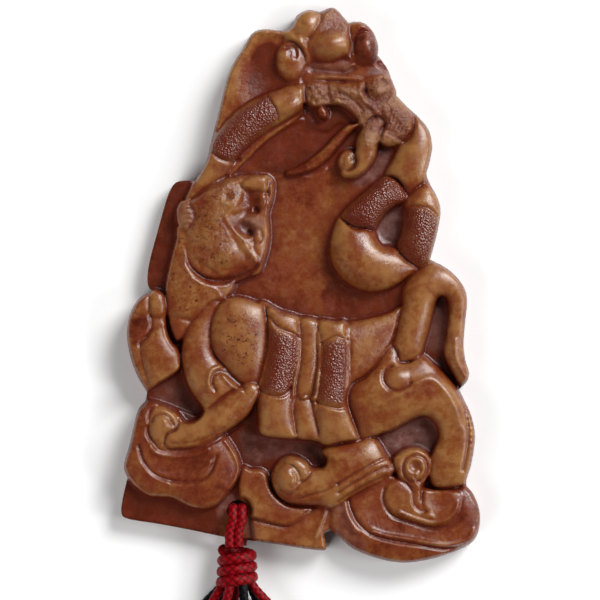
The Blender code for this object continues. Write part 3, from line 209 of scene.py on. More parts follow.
def braidMaterial(name, shadedValley, crown, lit):
    # Polyester satin cord: tight shiny yarns, with painted shade where they dive under each other and a
    # painted highlight on their crowns
    material, tree, shader = newMaterial(name)
    crest = addNode(tree, "ShaderNodeAttribute", {"attribute_name": "crest"})
    place = addNode(tree, "ShaderNodeTexCoord")
    fibres = addNode(tree, "ShaderNodeTexNoise", {"Scale": 1 / (0.35 * mm), "Detail": 3.0},
                     Vector=place.outputs["Object"])
    uneven = addNode(tree, "ShaderNodeMath", {"operation": "MULTIPLY_ADD", 1: 0.5, 2: -0.25},
                     input0=fibres.outputs["Fac"])
    height = addNode(tree, "ShaderNodeMath", {"operation": "ADD", "use_clamp": True},
                     input0=crest.outputs["Fac"], input1=uneven.outputs[0])
    # painted shade low between the yarns and a painted highlight on their crowns
    colour = addNode(tree, "ShaderNodeValToRGB", {"stops": [(0.0, shadedValley), (0.55, crown), (1.0, lit)]},
                     Fac=height.outputs[0])
    tree.links.new(colour.outputs["Color"], shader.inputs["Base Color"])
    bump = addNode(tree, "ShaderNodeBump", {"Strength": 0.35, "Distance": 0.05 * mm},
                   Height=fibres.outputs["Fac"])
    tree.links.new(bump.outputs["Normal"], shader.inputs["Normal"])
    shader.inputs["Roughness"].default_value = 0.5
    shader.inputs["Specular IOR Level"].default_value = 0.15
    return material


crimsonBraid = braidMaterial("crimson satin braid", "#1c0002", "#5e0208", "#8a0611")
blackBraid = braidMaterial("black satin braid", "#010101", "#050506", "#101014")
holeX = plaqueX(plaque["hole"][0])
knotX = holeX + cord["knotShift"]
knotTop = plaqueY(plaque["footEdge"]) - cord["gap"]
knotEnd = knotTop - cord["knotLength"]


def loopRoute(side):
    # up over the front, down through the hole and back through the channel
    reach = cord["loop"] / 2 + cord["gap"]
    aside = side * (cord["loop"] + cord["gap"]) / 2
    holeY = plaqueY(plaque["hole"][1])
    rim = holeY - math.sqrt(plaque["holeRadius"] ** 2 - aside ** 2)
    bend = holeY + cord["bulge"] - rim
    start = plaqueY(plaque["footEdge"])
    halfWay = (start + rim) / 2
    front = plaque["trough"] * mm + cord["lift"]
    back = plaque["channel"] - cord["lift"]
    x = holeX + aside
    frontX = x + cord["lean"]
    end = start - cord["overlap"]
    route = [(frontX, end, front + reach), (frontX, halfWay, front + reach)]
    for corner, angles in ((front, (90, 60, 30, 0)), (back, (0, -30, -60, -90))):
        for angle in (math.radians(a) for a in angles):
            route.append((x, rim + bend * math.cos(angle), corner + reach * math.sin(angle)))
    return route + [(x, halfWay, back - reach), (x, end, back - reach)]


tasselRoutes = {
    "tassel_cord_1": ("black", [(-1.64, 0, 1.8), (-2.9, 0.035, 1.6), (-5.0, 0.08, 1.2), (-7.2, 0.14, 0.85),
                                (-8.6, 0.23, 0.8), (-9.2, 0.38, 0.8), (-9.0, 0.57, 0.8), (-9.3, 0.78, 0.8),
                                (-9.0, 1, 0.8)]),
    "tassel_cord_2": ("red", [(-2.05, 0, 3.6), (-2.7, 0.035, 3.7), (-4.0, 0.08, 3.3), (-5.3, 0.14, 2.2),
                              (-6.0, 0.23, 1.0), (-6.4, 0.38, 0.8), (-6.5, 0.57, 0.8), (-6.2, 0.78, 0.8),
                              (-6.6, 0.98, 0.8)]),
    "tassel_cord_3": ("black", [(0, 0, 1.0), (-0.9, 0.035, 0.9), (-2.4, 0.08, 0.8), (-3.0, 0.14, 0.8),
                                (-3.6, 0.23, 0.8), (-4.0, 0.38, 0.8), (-3.8, 0.57, 0.8), (-3.9, 0.78, 0.8),
                                (-4.2, 0.96, 0.8)]),
    "tassel_cord_4": ("red", [(-0.91, 0, 5.0), (-1.2, 0.035, 5.1), (-1.8, 0.08, 4.8), (-2.0, 0.14, 3.6),
                              (-1.7, 0.23, 2.0), (-1.4, 0.38, 0.9), (-1.6, 0.57, 0.8), (-1.3, 0.78, 0.8),
                              (-1.5, 1, 0.8)]),
    "tassel_cord_5": ("red", [(0, 0, 3.1), (-0.1, 0.035, 3.1), (-0.5, 0.08, 2.9), (0.1, 0.14, 2.0),
                              (0.9, 0.23, 1.0), (1.2, 0.38, 0.8), (1.0, 0.57, 0.8), (1.3, 0.78, 0.8),
                              (1.0, 0.97, 0.8)]),
    "tassel_cord_6": ("black", [(0.91, 0, 5.0), (1.0, 0.035, 5.1), (1.2, 0.08, 4.7), (2.0, 0.14, 3.4),
                                (3.0, 0.23, 1.8), (3.7, 0.38, 0.85), (3.5, 0.57, 0.8), (3.8, 0.78, 0.8),
                                (3.6, 1, 0.8)]),
    "tassel_cord_7": ("black", [(1.64, 0, 1.8), (2.3, 0.035, 1.7), (3.2, 0.08, 1.3), (4.4, 0.14, 0.9),
                                (5.6, 0.23, 0.8), (6.2, 0.38, 0.8), (6.0, 0.57, 0.8), (6.3, 0.78, 0.8),
                                (6.1, 0.97, 0.8)]),
    "tassel_cord_8": ("red", [(2.05, 0, 3.6), (3.0, 0.035, 3.7), (4.9, 0.08, 3.3), (6.7, 0.14, 2.3),
                              (7.9, 0.23, 1.1), (8.7, 0.38, 0.8), (8.5, 0.57, 0.8), (8.8, 0.78, 0.8),
                              (8.4, 1, 0.8)]),
}
knot = {"middle": 3.1 * mm, "turns": 3.2, "cord": 1.75 * mm, "radius": 2.05 * mm, "pitch": 1.62 * mm}


def knotRoute():
    # the wrapping cord winds down round the bundle, and its cut end stands off to the right
    route = []
    steps = 16
    for i in range(int(knot["turns"] * steps) + 1):
        angle = 2 * math.pi * i / steps - math.radians(200)
        y = knotTop - knot["cord"] / 2 - knot["pitch"] * i / steps
        grow = 1 + 0.05 * i / steps
        route.append((knotX + knot["radius"] * grow * math.cos(angle), y,
                      knot["middle"] + knot["radius"] * grow * math.sin(angle)))
    last = route[-1]
    route.append((last[0] + 0.9 * mm, last[1] - 0.35 * mm, last[2] - 0.5 * mm))
    return route


# The loop and the knot hold the tassel, so they go with its first cord
for name, side in (("cord_loop_left", -1), ("cord_loop_right", 1)):
    drawnName = name.replace("cord", "braid")
    piece = braidedCord(drawnName, loopRoute(side), cord["loopDrawn"], crimsonBraid)[0]
    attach(piece, "root")
    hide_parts(name)
piece = braidedCord("wound_knot", knotRoute(), knot["cord"], crimsonBraid)[0]
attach(piece, "root")
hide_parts("wrapped_knot")
for name, (colour, route) in tasselRoutes.items():
    places = [(knotX + x * mm, knotEnd - run * cord["tasselLength"], z * mm) for x, run, z in route]
    first = places[0]
    # the cords run on up into the knot
    places = [(knotX + (first[0] - knotX) * 0.7, knotEnd + cord["intoKnot"], first[2]),
              (first[0], knotEnd - cord["gap"], first[2])] + places[1:]
    piece, path = braidedCord(name.replace("cord", "braid"), places, cord["tassel"],
                              crimsonBraid if colour == "red" else blackBraid)
    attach(piece, "root")
    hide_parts(name)
stage("Cords made")


# The carving: levels in millimetres above the back, sampled over a drawing of x to the right and y down
carving = {"cell": 1.0, "margin": 6.0, "plateLevel": 3.0, "rollTop": 9.2, "rollWidth": 14.0,
           "polish": 0.6, "edgeSoft": 2.6, "markSoft": 6.0, "outlineStep": 1.5, "riseSpan": 5,
           "cavityReach": 9, "creaseReach": 2.5, "marks": ("dark", "grey", "rough", "pits", "scales")}
unit = plaque["height"] / (plaque["foot"] - plaque["top"]) / mm
drawnScale = (plaque["right"] - plaque["left"]) / plaque["width"]


def drawnPlaces(spots):
    # from places on the model to x and y in the drawing
    return (plaque["left"] + (spots[:, 0] + plaque["width"] / 2) * drawnScale,
            plaque["top"] + (plaque["height"] / 2 - spots[:, 1]) * drawnScale)


def nearestOn(curve, x, y):
    best = np.full(x.shape, np.inf)
    values = np.zeros((curve.shape[1] - 2,) + x.shape)
    for a, b in zip(curve[:-1], curve[1:]):
        run = b - a
        length = max(run[0] ** 2 + run[1] ** 2, 1e-9)
        t = np.clip(((x - a[0]) * run[0] + (y - a[1]) * run[1]) / length, 0, 1)
        gap = (x - a[0] - t * run[0]) ** 2 + (y - a[1] - t * run[1]) ** 2
        closer = gap < best
        best[closer] = gap[closer]
        for k, value in enumerate(values):
            value[closer] = (a[2 + k] + t * run[2 + k])[closer]
    return np.sqrt(best), values


def edgeDistance(curve, x, y):
    # distance to a closed curve, negative inside it
    loop = np.vstack([curve, curve[:1]])[:, :2]
    gap = nearestOn(loop, x, y)[0]
    inside = np.zeros(x.shape, dtype=bool)
    for (ax, ay), (bx, by) in zip(loop[:-1], loop[1:]):
        if ay != by:
            inside ^= ((ay > y) != (by > y)) & (x < (bx - ax) * (y - ay) / (by - ay) + ax)
    return np.where(inside, -gap, gap)


def cushion(inside):
    # a soft cushion that fills the cells inside, half round where they form a strip
    cells = np.pad(inside, 1)
    height = np.zeros(cells.shape)
    span = max(4, min(cells.shape))
    push = 2 / (1 + math.pi / span)
    rows, columns = np.indices(cells.shape)
    odd = (rows + columns) % 2 == 1
    for _ in range(2 * span):
        for turn in (odd, ~odd):
            around = (np.roll(height, 1, 0) + np.roll(height, -1, 0) + np.roll(height, 1, 1)
                      + np.roll(height, -1, 1) + carving["cell"] ** 2) / 4
            height = np.where(cells & turn, height + push * (around - height), height)
    return np.sqrt(2 * np.clip(height[1:-1, 1:-1], 0, None))


def blur(values, radius):
    reach = int(3 * radius) + 1
    weights = np.exp(-0.5 * (np.arange(-reach, reach + 1) / radius) ** 2)
    weights /= weights.sum()
    for axis in (0, 1):
        sides = [(0, 0), (0, 0)]
        sides[axis] = (reach, reach)
        padded = np.pad(values, sides, mode="edge")
        size = values.shape[axis]
        values = sum(w * np.take(padded, range(i, i + size), axis) for i, w in enumerate(weights))
    return values


class Relief:
    # forms laid over each other, and marks for where the stone is painted darker (partly as painted shade),
    # grey, pitted or punched with scales
    def __init__(self):
        self.left = plaque["left"] - carving["margin"]
        self.top = plaque["top"] - carving["margin"]
        columns = np.arange(self.left, plaque["right"] + carving["margin"], carving["cell"])
        rows = np.arange(self.top, plaque["foot"] + carving["margin"], carving["cell"])
        self.x, self.y = np.meshgrid(columns, rows)
        self.level = np.full(self.x.shape, carving["plateLevel"])
        self.marks = {name: np.zeros(self.x.shape) for name in carving["marks"]}

    def near(self, curve, margin):
        low = curve[:, :2].min(0) - margin
        high = curve[:, :2].max(0) + margin
        start = np.maximum((low - (self.left, self.top)) / carving["cell"], 0).astype(int)
        end = np.maximum((high - (self.left, self.top)) / carving["cell"] + 2, 0).astype(int)
        area = slice(start[1], end[1]), slice(start[0], end[0])
        return area, self.x[area], self.y[area]

    def lay(self, area, gap, top):
        # crisp at the foot and rounded at the top
        cover = 1 - (1 - np.clip(0.5 - gap / carving["edgeSoft"], 0, 1)) ** 2
        self.level[area] += (top - self.level[area]) * cover
        for mask in self.marks.values():
            mask[area] *= 1 - cover

    def form(self, outline, edge, swell):
        curve = smoothCurve(outline, closed=True)
        area, x, y = self.near(curve, carving["edgeSoft"])
        gap = edgeDistance(curve, x, y)
        rise = cushion(gap < 0) * unit * swell if swell else 0
        self.lay(area, gap, edge + rise)

    def tube(self, route, drop=0.8):
        # a round bar along a route of (x, y, half width, crown)
        curve = smoothCurve(route)
        area, x, y = self.near(curve, max(point[2] for point in route) + carving["edgeSoft"])
        gap, (half, crown) = nearestOn(curve, x, y)
        rounding = 1 - np.sqrt(np.clip(1 - (gap / half) ** 2, 0, 1))
        self.lay(area, gap - half, crown - half * unit * drop * rounding)

    def line(self, route, width, height):
        curve = smoothCurve(route)
        area, x, y = self.near(curve, 3 * width)
        gap = nearestOn(curve, x, y)[0]
        self.level[area] += height * np.exp(-(gap / width) ** 2)

    def boss(self, x, y, across, along, height, turn=0.0, power=2.0):
        c, s = math.cos(math.radians(turn)), math.sin(math.radians(turn))
        u = ((self.x - x) * c + (self.y - y) * s) / across
        v = ((self.y - y) * c - (self.x - x) * s) / along
        share = np.clip(1 - np.hypot(u, v) ** power, 0, 1)
        self.level += height * share ** 1.5

    def hollow(self, outline, level, wall=3.0):
        curve = smoothCurve(outline, closed=True)
        area, x, y = self.near(curve, carving["cell"])
        gap = edgeDistance(curve, x, y)
        share = np.clip(-gap / wall, 0, 1)
        share = share ** 2 * (3 - 2 * share)
        old = self.level[area]
        self.level[area] = np.minimum(old, old + (level - old) * share)

    def mark(self, name, outline, share=1.0):
        curve = smoothCurve(outline, closed=True)
        area, x, y = self.near(curve, 4)
        cover = np.clip(0.5 - edgeDistance(curve, x, y) / carving["markSoft"], 0, 1)
        self.marks[name][area] = np.maximum(self.marks[name][area], share * cover ** 2 * (3 - 2 * cover))

    def at(self, values, x, y):
        # values between the samples, at arrays of places
        column = np.clip((x - self.left) / carving["cell"], 0, values.shape[1] - 1.001)
        row = np.clip((y - self.top) / carving["cell"], 0, values.shape[0] - 1.001)
        i = row.astype(int)
        j = column.astype(int)
        v = row - i
        u = column - j
        low = values[i, j] * (1 - u) + values[i, j + 1] * u
        high = values[i + 1, j] * (1 - u) + values[i + 1, j + 1] * u
        return low * (1 - v) + high * v


plaqueOutline = [
    (331, 7), (337, 9.5), (343, 16), (348.5, 22.5), (348.5, 22.5), (356, 21), (364, 22.5), (371, 28.5),
    (376, 37), (378.5, 47), (378, 55), (378, 55), (387, 67), (392, 79), (396.5, 91), (396.5, 95),
    (396.5, 95), (406, 105), (420, 118), (429, 130), (432.5, 146), (430, 162), (427, 174), (431, 185),
    (438, 198), (441, 211), (438, 231), (434, 247), (430.5, 259.5), (430.5, 259.5), (445, 267),
    (457, 277), (465, 289), (467.5, 302), (465.5, 324), (464, 345), (466, 361), (469.5, 373),
    (467, 382), (459.5, 389.5), (459.5, 389.5), (465, 401), (472, 417), (475.5, 438), (472, 463),
    (467, 480), (467, 486.5), (467, 486.5), (474, 495), (480, 512), (479, 531), (471, 544), (447, 555),
    (422, 561.5), (399, 563), (375, 558), (353, 549), (339, 537), (331, 532), (324, 534.5),
    (324, 534.5), (326, 543), (326, 550), (321, 551), (300, 548.5), (275, 544.5), (250, 541),
    (224, 537.5), (190, 530.5), (158, 524.5), (128, 519.5), (121, 514), (122, 500), (127, 478),
    (127, 478), (123.5, 466), (129, 445), (137, 412), (145, 401), (146.5, 392), (146.5, 392),
    (137, 376), (130, 357), (126.5, 335), (129, 316), (138, 299), (151, 291.5), (151, 291.5),
    (147, 282), (149, 262), (158, 228), (166, 200), (172, 186), (179, 181), (195, 180), (195, 180),
    (206, 161), (210, 145), (218, 114), (229, 72), (244, 46), (252, 33), (264, 28.7), (283, 30),
    (292, 25), (297, 15), (308, 9.3), (320, 11)]


def layGround(cut):
    cut.form([(240, 108), (262, 96), (300, 84), (350, 80), (400, 110), (420, 200), (410, 330), (300, 330),
        (225, 320), (215, 250), (215, 180), (222, 150)], edge=3.5, swell=0)
    cut.boss(318, 230, 75, 90, -0.3)
    # the field at the upper left, with its hollow
    cut.form([(295, 24), (276, 26), (262, 25), (248, 33), (238, 48), (226, 74), (216, 108), (204, 150),
        (214, 160), (236, 140), (262, 115), (285, 103), (306, 92), (300, 70), (290, 50)], edge=5.2, swell=0)
    cut.boss(268, 74, 34, 44, -0.75, turn=15)
    # the hollow and the low plates at the left are painted darker, partly as painted shade
    cut.mark("dark", [(256, 48), (270, 42), (280, 50), (277, 62), (282, 76), (290, 84), (280, 95),
        (262, 100), (250, 92), (250, 68)])
    cut.mark("dark", [(180, 181), (195, 180), (185, 205), (176, 228), (168, 262), (164, 290), (148, 288),
        (150, 258), (160, 222), (170, 190)], 0.8)
    cut.mark("dark", [(122, 478), (140, 488), (180, 502), (214, 512), (216, 540), (160, 526), (119, 518)])


def carveCloudHead(cut):
    # the ledge, and the clouds as one mass
    cut.form([(302, 60), (325, 58), (350, 58), (372, 62), (384, 70), (390, 80), (380, 84), (350, 84),
        (320, 84), (304, 86)], edge=4.8, swell=0.2)
    cut.line([(315, 77), (330, 77), (348, 78), (363, 80)], 1.6, 0.4)
    cut.line([(316, 82), (330, 81.5), (345, 82)], 1.2, -0.4)
    cut.line([(312, 69), (330, 71), (344, 72), (354, 69)], 3.0, -0.5)
    cut.line([(344, 70), (350, 66), (358, 64), (366, 66.5), (376, 63.5)], 1.4, 0.4)
    cut.form([(286, 30), (292, 22), (297, 14), (304, 8), (314, 8), (322, 11), (331, 5), (338, 8), (345, 16),
        (350, 22), (356, 20), (364, 21), (372, 28), (378, 37), (381, 47), (380, 58), (372, 66), (364, 67),
        (352, 62), (344, 58), (336, 60), (326, 62), (314, 62), (306, 66), (302, 74), (296, 79), (289, 80),
        (281, 75), (277, 67), (276.5, 57), (278, 49), (283, 42), (284, 36)], edge=5.0, swell=0.35)
    cut.boss(306, 24, 16, 17, 0.7)
    cut.boss(302, 24, 4.5, 4.5, -0.25)
    cut.line([(262, 33), (276, 33), (290, 36), (300, 44)], 3.0, 0.4)
    # the small curl, a ball with a spiral hole
    cut.form([(276.5, 57), (278, 49), (284, 43), (291, 41.5), (298, 44.5), (303, 52), (306, 62), (304, 72),
        (298, 79), (289, 80.5), (281, 75), (277, 67)], edge=5.0, swell=0.75)
    cut.line([(286, 48), (291, 46.5), (295.5, 50), (296, 57)], 1.8, -0.35)
    cut.boss(291, 53, 6, 7, -0.3)
    cut.line([(300, 38), (303, 46), (306, 56), (306.5, 64)], 2.4, 0.3)
    # middle cloud, a pillow below a slope
    cut.boss(331, 46, 25, 17, 1.5, turn=-15)
    cut.boss(334, 22, 15, 18, -0.2)
    cut.line([(321, 13), (319, 23), (314, 32), (309, 38)], 2.2, -0.35)
    # right scroll: a rim round an inner ball
    cut.form([(349, 28), (352, 22.5), (357, 20.5), (364, 21), (371, 26), (377, 35), (380, 47), (378, 58),
        (372, 65), (364, 65.5), (355, 62), (350, 54), (350, 40)], edge=5.0, swell=0.55)
    cut.line([(355, 54), (354, 44), (356, 36), (361, 31.5), (368, 32), (373, 38)], 1.8, -0.55)
    cut.boss(366, 47, 11, 14, 0.8)
    # painted shade: purple grey below the clouds
    cut.mark("grey", [(312, 63), (330, 65), (348, 62), (354, 68), (350, 74), (330, 76), (312, 74)], 0.6)
    cut.mark("grey", [(370, 69), (380, 69), (388, 76), (389, 83), (380, 80), (370, 78)])
    cut.mark("pits", [(366, 66), (378, 66), (388, 74), (392, 86), (380, 80), (368, 76)])
    # painted shade on the ball inside the right scroll
    cut.mark("dark", [(353, 56), (352, 40), (357, 28), (368, 27), (377, 40), (378, 56), (370, 65),
        (360, 65)])
    # painted shade along the lower edge of the middle pillow
    cut.mark("dark", [(314, 58), (326, 61), (338, 59), (348, 53), (352, 58), (340, 64), (316, 64)], 0.8)
    cut.mark("pits", [(322, 12), (331, 8), (340, 14), (348, 26), (336, 28), (322, 28)], 0.7)
    cut.mark("grey", [(320, 13), (331, 8), (340, 15), (350, 30), (336, 34), (318, 32)], 0.15)
    cut.mark("rough", [(320, 13), (331, 8), (340, 15), (350, 30), (336, 36), (318, 32)], 0.4)
    # painted shade in the small curl's spiral hole
    cut.mark("dark", [(284, 48), (291, 44), (298, 48), (298, 58), (290, 58)], 0.7)


def carveDragonBack(cut):
    # left of its head the body is a tube that dives behind the beast
    cut.form([(304, 112), (290, 123), (280, 129.5), (270, 136.5), (262, 143.5), (255, 150), (248, 158),
        (238, 168), (225, 180), (215, 170), (235, 150), (258, 128), (280, 108)], edge=4.6, swell=0)
    cut.line([(303, 119), (290, 124), (280, 130), (270, 137), (262, 144), (255, 150.5),
        (249, 157)], 1.5, 0.5)
    cut.tube([(306, 96, 12, 6.4), (294, 99, 14, 6.6), (283, 104, 15.5, 6.7), (268, 111, 16.5, 6.8),
        (250, 122, 17.5, 6.8), (236, 135, 17, 6.6), (224, 150, 15.5, 6.4), (215, 164, 14.5, 6.1),
        (207, 178, 12.5, 5.8), (198, 190, 9, 5.3), (190, 199, 5, 4.9)], drop=0.7)
    cut.boss(291, 108, 13, 9, 0.5, turn=-35)
    cut.line([(267, 95), (271, 103), (276, 111), (279, 121)], 1.6, -0.5)
    cut.line([(209, 148), (215, 155), (223, 160), (233, 162), (240, 160)], 1.6, -0.5)
    cut.line([(228, 176), (216, 181), (204, 189), (191, 200)], 1.2, -0.4)
    cut.mark("scales", [(267, 96), (274, 107), (278, 119), (268, 128), (257, 138), (247, 149), (239, 158),
        (228, 160), (217, 156), (211, 149), (218, 136), (233, 118), (250, 106)])
    # the concave field below the back and by the mouth is painted darker, partly as painted shade
    cut.mark("dark", [(300, 122), (284, 131), (268, 142), (256, 152), (250, 162), (262, 170), (282, 174),
        (300, 172), (318, 162), (332, 146), (345, 132), (340, 118), (320, 112)])


def carveDragonCoils(cut):
    # neck
    cut.form([(396, 98), (407, 105), (420, 116), (430, 129), (435, 146), (432, 162), (429, 175), (426, 183),
        (414, 192), (406, 199), (398, 190), (393, 181), (385, 178), (388, 168), (394, 157), (399, 146),
        (404, 139), (407, 126), (402, 112)], edge=4.4, swell=0.85)
    # scaled stretch, then the smooth bend, then the tube that climbs at the right
    cut.form([(341, 216), (335, 225), (331, 239), (330, 252), (332, 262), (337, 272), (345, 281), (356, 288),
        (370, 291.5), (385, 290), (397, 285), (408, 277.5), (420, 270), (415, 262), (405, 255), (399, 250),
        (391, 247), (383, 246), (377, 239), (373, 229), (365, 224), (355, 220)], edge=4.2, swell=0.85)
    cut.form([(388, 175), (377, 182), (365, 192), (352, 203), (341, 216), (346, 223), (355, 228.5),
        (365, 229), (373, 231), (379, 221), (386, 212), (396, 205), (407, 200), (404, 189),
        (398, 180)], edge=4.6, swell=0.85)
    cut.line([(341, 217), (347, 224), (355, 228.5), (365, 229), (373, 231)], 1.5, -0.4)
    cut.line([(386, 176), (396, 178.5), (403, 185), (408, 194)], 1.5, -0.4)
    cut.mark("scales", [(388, 177), (378, 183), (365, 194), (353, 205), (343, 216), (348, 222), (356, 226),
        (366, 227), (373, 229), (378, 220), (386, 211), (396, 204), (405, 198), (402, 189), (396, 181)])
    cut.form([(428, 181), (419, 186.5), (411, 193), (405, 202), (404, 216), (402, 232), (397, 245),
        (399, 253), (405, 260), (415, 266), (424, 269), (432, 262), (436, 249), (440, 235), (443.5, 220),
        (443, 207), (438, 196), (432, 186)], edge=4.4, swell=0.9)
    cut.line([(405, 208), (412, 206), (421, 206.5), (430, 210), (438, 218)], 1.6, -0.45)
    cut.mark("scales", [(405, 209), (413, 207.5), (421, 208), (430, 212), (437, 219), (436, 235), (431, 250),
        (426, 263), (416, 264), (406, 258), (399, 251), (400, 243), (404, 231), (405, 218)])
    cut.hollow([(397, 206), (403, 208), (403, 222), (400, 234), (395, 245), (387, 245), (381, 240),
        (376, 231), (380, 221), (387, 212)], 3.2, wall=4)
    cut.mark("grey", [(397, 208), (402, 210), (402, 222), (399, 234), (394, 243), (387, 243), (382, 238),
        (378, 230), (382, 221), (388, 213)])
    # painted shade on the ground under the bend
    cut.mark("dark", [(333, 280), (345, 290), (370, 296), (392, 291), (404, 283), (403, 306), (380, 316),
        (350, 319), (330, 314), (322, 296)], 0.7)


def carveDragonHead(cut):
    # beard that curls up into a ball
    cut.hollow([(396, 146), (393, 158), (386, 170), (375, 180), (362, 187), (352, 184), (356, 178),
        (368, 170), (376, 158), (386, 146)], 3.8, wall=6)
    # painted shade: grey in the hollow behind the beard
    cut.mark("grey", [(390, 150), (388, 162), (383, 171), (374, 180), (362, 186), (353, 184), (362, 176),
        (372, 168), (378, 158), (384, 150)], 0.8)
    # tongue
    cut.tube([(362, 121, 2.5, 5.6), (354, 125, 3.2, 5.6), (345, 132, 4, 5.6), (336, 142, 4.6, 5.5),
        (327, 152, 5, 5.3), (317, 161, 5, 5.0), (306, 167.5, 4.4, 4.9), (296, 171.5, 3, 4.7),
        (288, 173, 2, 4.5)], drop=0.6)
    cut.line([(357, 124), (346, 130), (336, 139), (326, 149), (314, 158), (300, 166)], 1.2, 0.25)
    cut.line([(302, 177.5), (312, 177), (320, 174), (326, 169)], 1.3, 0.25)
    # the tongue is painted darker red brown, partly as the shade on its lower side
    cut.mark("dark", [(360, 120), (346, 128), (334, 140), (320, 154), (300, 165), (288, 172), (300, 176),
        (318, 168), (334, 154), (348, 138)], 0.8)
    # skull, snout and cheek
    cut.form([(303.5, 92), (305, 84), (312, 81.5), (325, 82), (340, 83), (352, 83), (361, 82), (368, 77),
        (379, 75), (389, 78), (395, 88), (400, 98), (409, 108), (414, 120), (413, 132), (407, 140),
        (397, 146), (386, 146), (376, 140), (368, 133), (362, 126), (355, 119), (348, 112), (340, 107),
        (332, 106), (326, 110), (318, 112), (309, 109), (304.5, 101)], edge=5.2, swell=0.35)
    cut.tube([(377, 124, 8, 5.9), (372, 131, 10, 6.2), (368, 141, 10.5, 6.6), (366, 152, 10, 6.6),
        (362, 162, 9, 6.4), (355, 170, 7.5, 6.1), (347, 172, 5.5, 5.7)], drop=0.8)
    cut.form([(338.5, 161), (341, 153.5), (347, 150), (354, 152), (357, 159), (355, 167), (348, 171.5),
        (341, 169)], edge=4.6, swell=0.9)
    cut.line([(343, 165), (343, 158), (347, 154), (352, 156), (352, 161)], 1.3, -0.35)
    cut.line([(376, 146), (384, 149), (393, 146), (400, 139)], 2.2, -0.4)
    cut.boss(315, 95, 12, 14, 0.5)
    cut.boss(345, 93, 18, 10, 0.3)
    cut.line([(327, 84), (328, 94), (331, 103)], 2.4, -0.35)
    # mouth, with one tooth and the lip over it
    cut.form([(304, 104), (314, 108), (328, 106), (340, 106), (350, 112), (358, 121), (350, 124), (340, 122),
        (333, 127), (327, 131), (318, 129), (309, 122), (304, 113)], edge=3.8, swell=0.1)
    cut.boss(316, 117, 11, 10, -0.3)
    cut.form([(318, 109), (322, 107), (326.5, 109.5), (328, 115), (325.5, 119.5), (320.5, 118),
        (318, 114)], edge=5.3, swell=0.9)
    cut.line([(332, 101), (340, 103), (347, 108), (354, 115), (361, 123)], 2.0, 0.35)
    cut.line([(334, 92), (344, 95), (354, 101), (362, 110)], 1.6, -0.35)
    cut.line([(338, 86), (346, 91), (355, 93), (362, 97)], 1.8, 0.3)
    for x, y in ((309, 90), (315, 88), (318, 94), (311, 98), (322, 99), (316, 102)):
        cut.boss(x, y, 3.2, 3.2, -0.4)
    # eye and its lids
    cut.line([(365, 84), (365, 92), (369, 99), (377, 102), (386, 99), (391, 92), (389, 84),
        (382, 79)], 1.8, -0.45)
    cut.boss(378, 90, 11, 10, 0.75)
    cut.line([(371, 92), (374, 97), (380, 98), (385, 94)], 1.2, -0.3)
    cut.boss(366, 91, 3, 4, -0.7)
    cut.boss(390, 86, 5, 7, 0.35)
    cut.line([(360, 84), (361, 94), (366, 103), (374, 108)], 1.8, 0.3)
    cut.line([(366, 106), (372, 113), (377, 122)], 1.6, -0.3)
    cut.line([(381, 113), (384, 117), (387, 122), (384, 129)], 1.5, -0.4)
    # mane
    for a in range(8):
        cut.line([(390 + 3.2 * a, 112 + 3.6 * a), (388 + 2.8 * a, 121 + 3 * a),
            (381 + 3 * a, 130 + 1.6 * a)], 1.1, -0.4)
    cut.line([(399, 98), (408, 107), (413.5, 118), (413, 130), (406, 140), (396, 146)], 1.6, -0.45)
    cut.mark("pits", [(306, 86), (330, 84), (360, 86), (380, 76), (392, 84), (398, 100), (412, 120),
        (406, 140), (388, 144), (370, 132), (356, 114), (330, 106), (308, 108)])
    cut.mark("rough", [(308, 84), (330, 84), (360, 86), (380, 76), (392, 84), (398, 100), (412, 120),
        (406, 140), (388, 150), (366, 146), (356, 118), (342, 106), (324, 108), (308, 104)])
    # painted shade inside the mouth
    cut.mark("dark", [(302, 108), (318, 110), (340, 108), (352, 116), (344, 128), (326, 134), (306, 130),
        (300, 119)])
    cut.mark("grey", [(306, 86), (330, 84), (360, 86), (380, 78), (392, 86), (398, 100), (411, 120),
        (404, 140), (384, 146), (362, 140), (356, 114), (330, 104), (308, 106)], 0.22)
    # painted shade on the underside of the snout
    cut.mark("dark", [(304, 90), (309, 100), (318, 106), (330, 103), (328, 112), (312, 112),
        (303, 106)], 0.7)


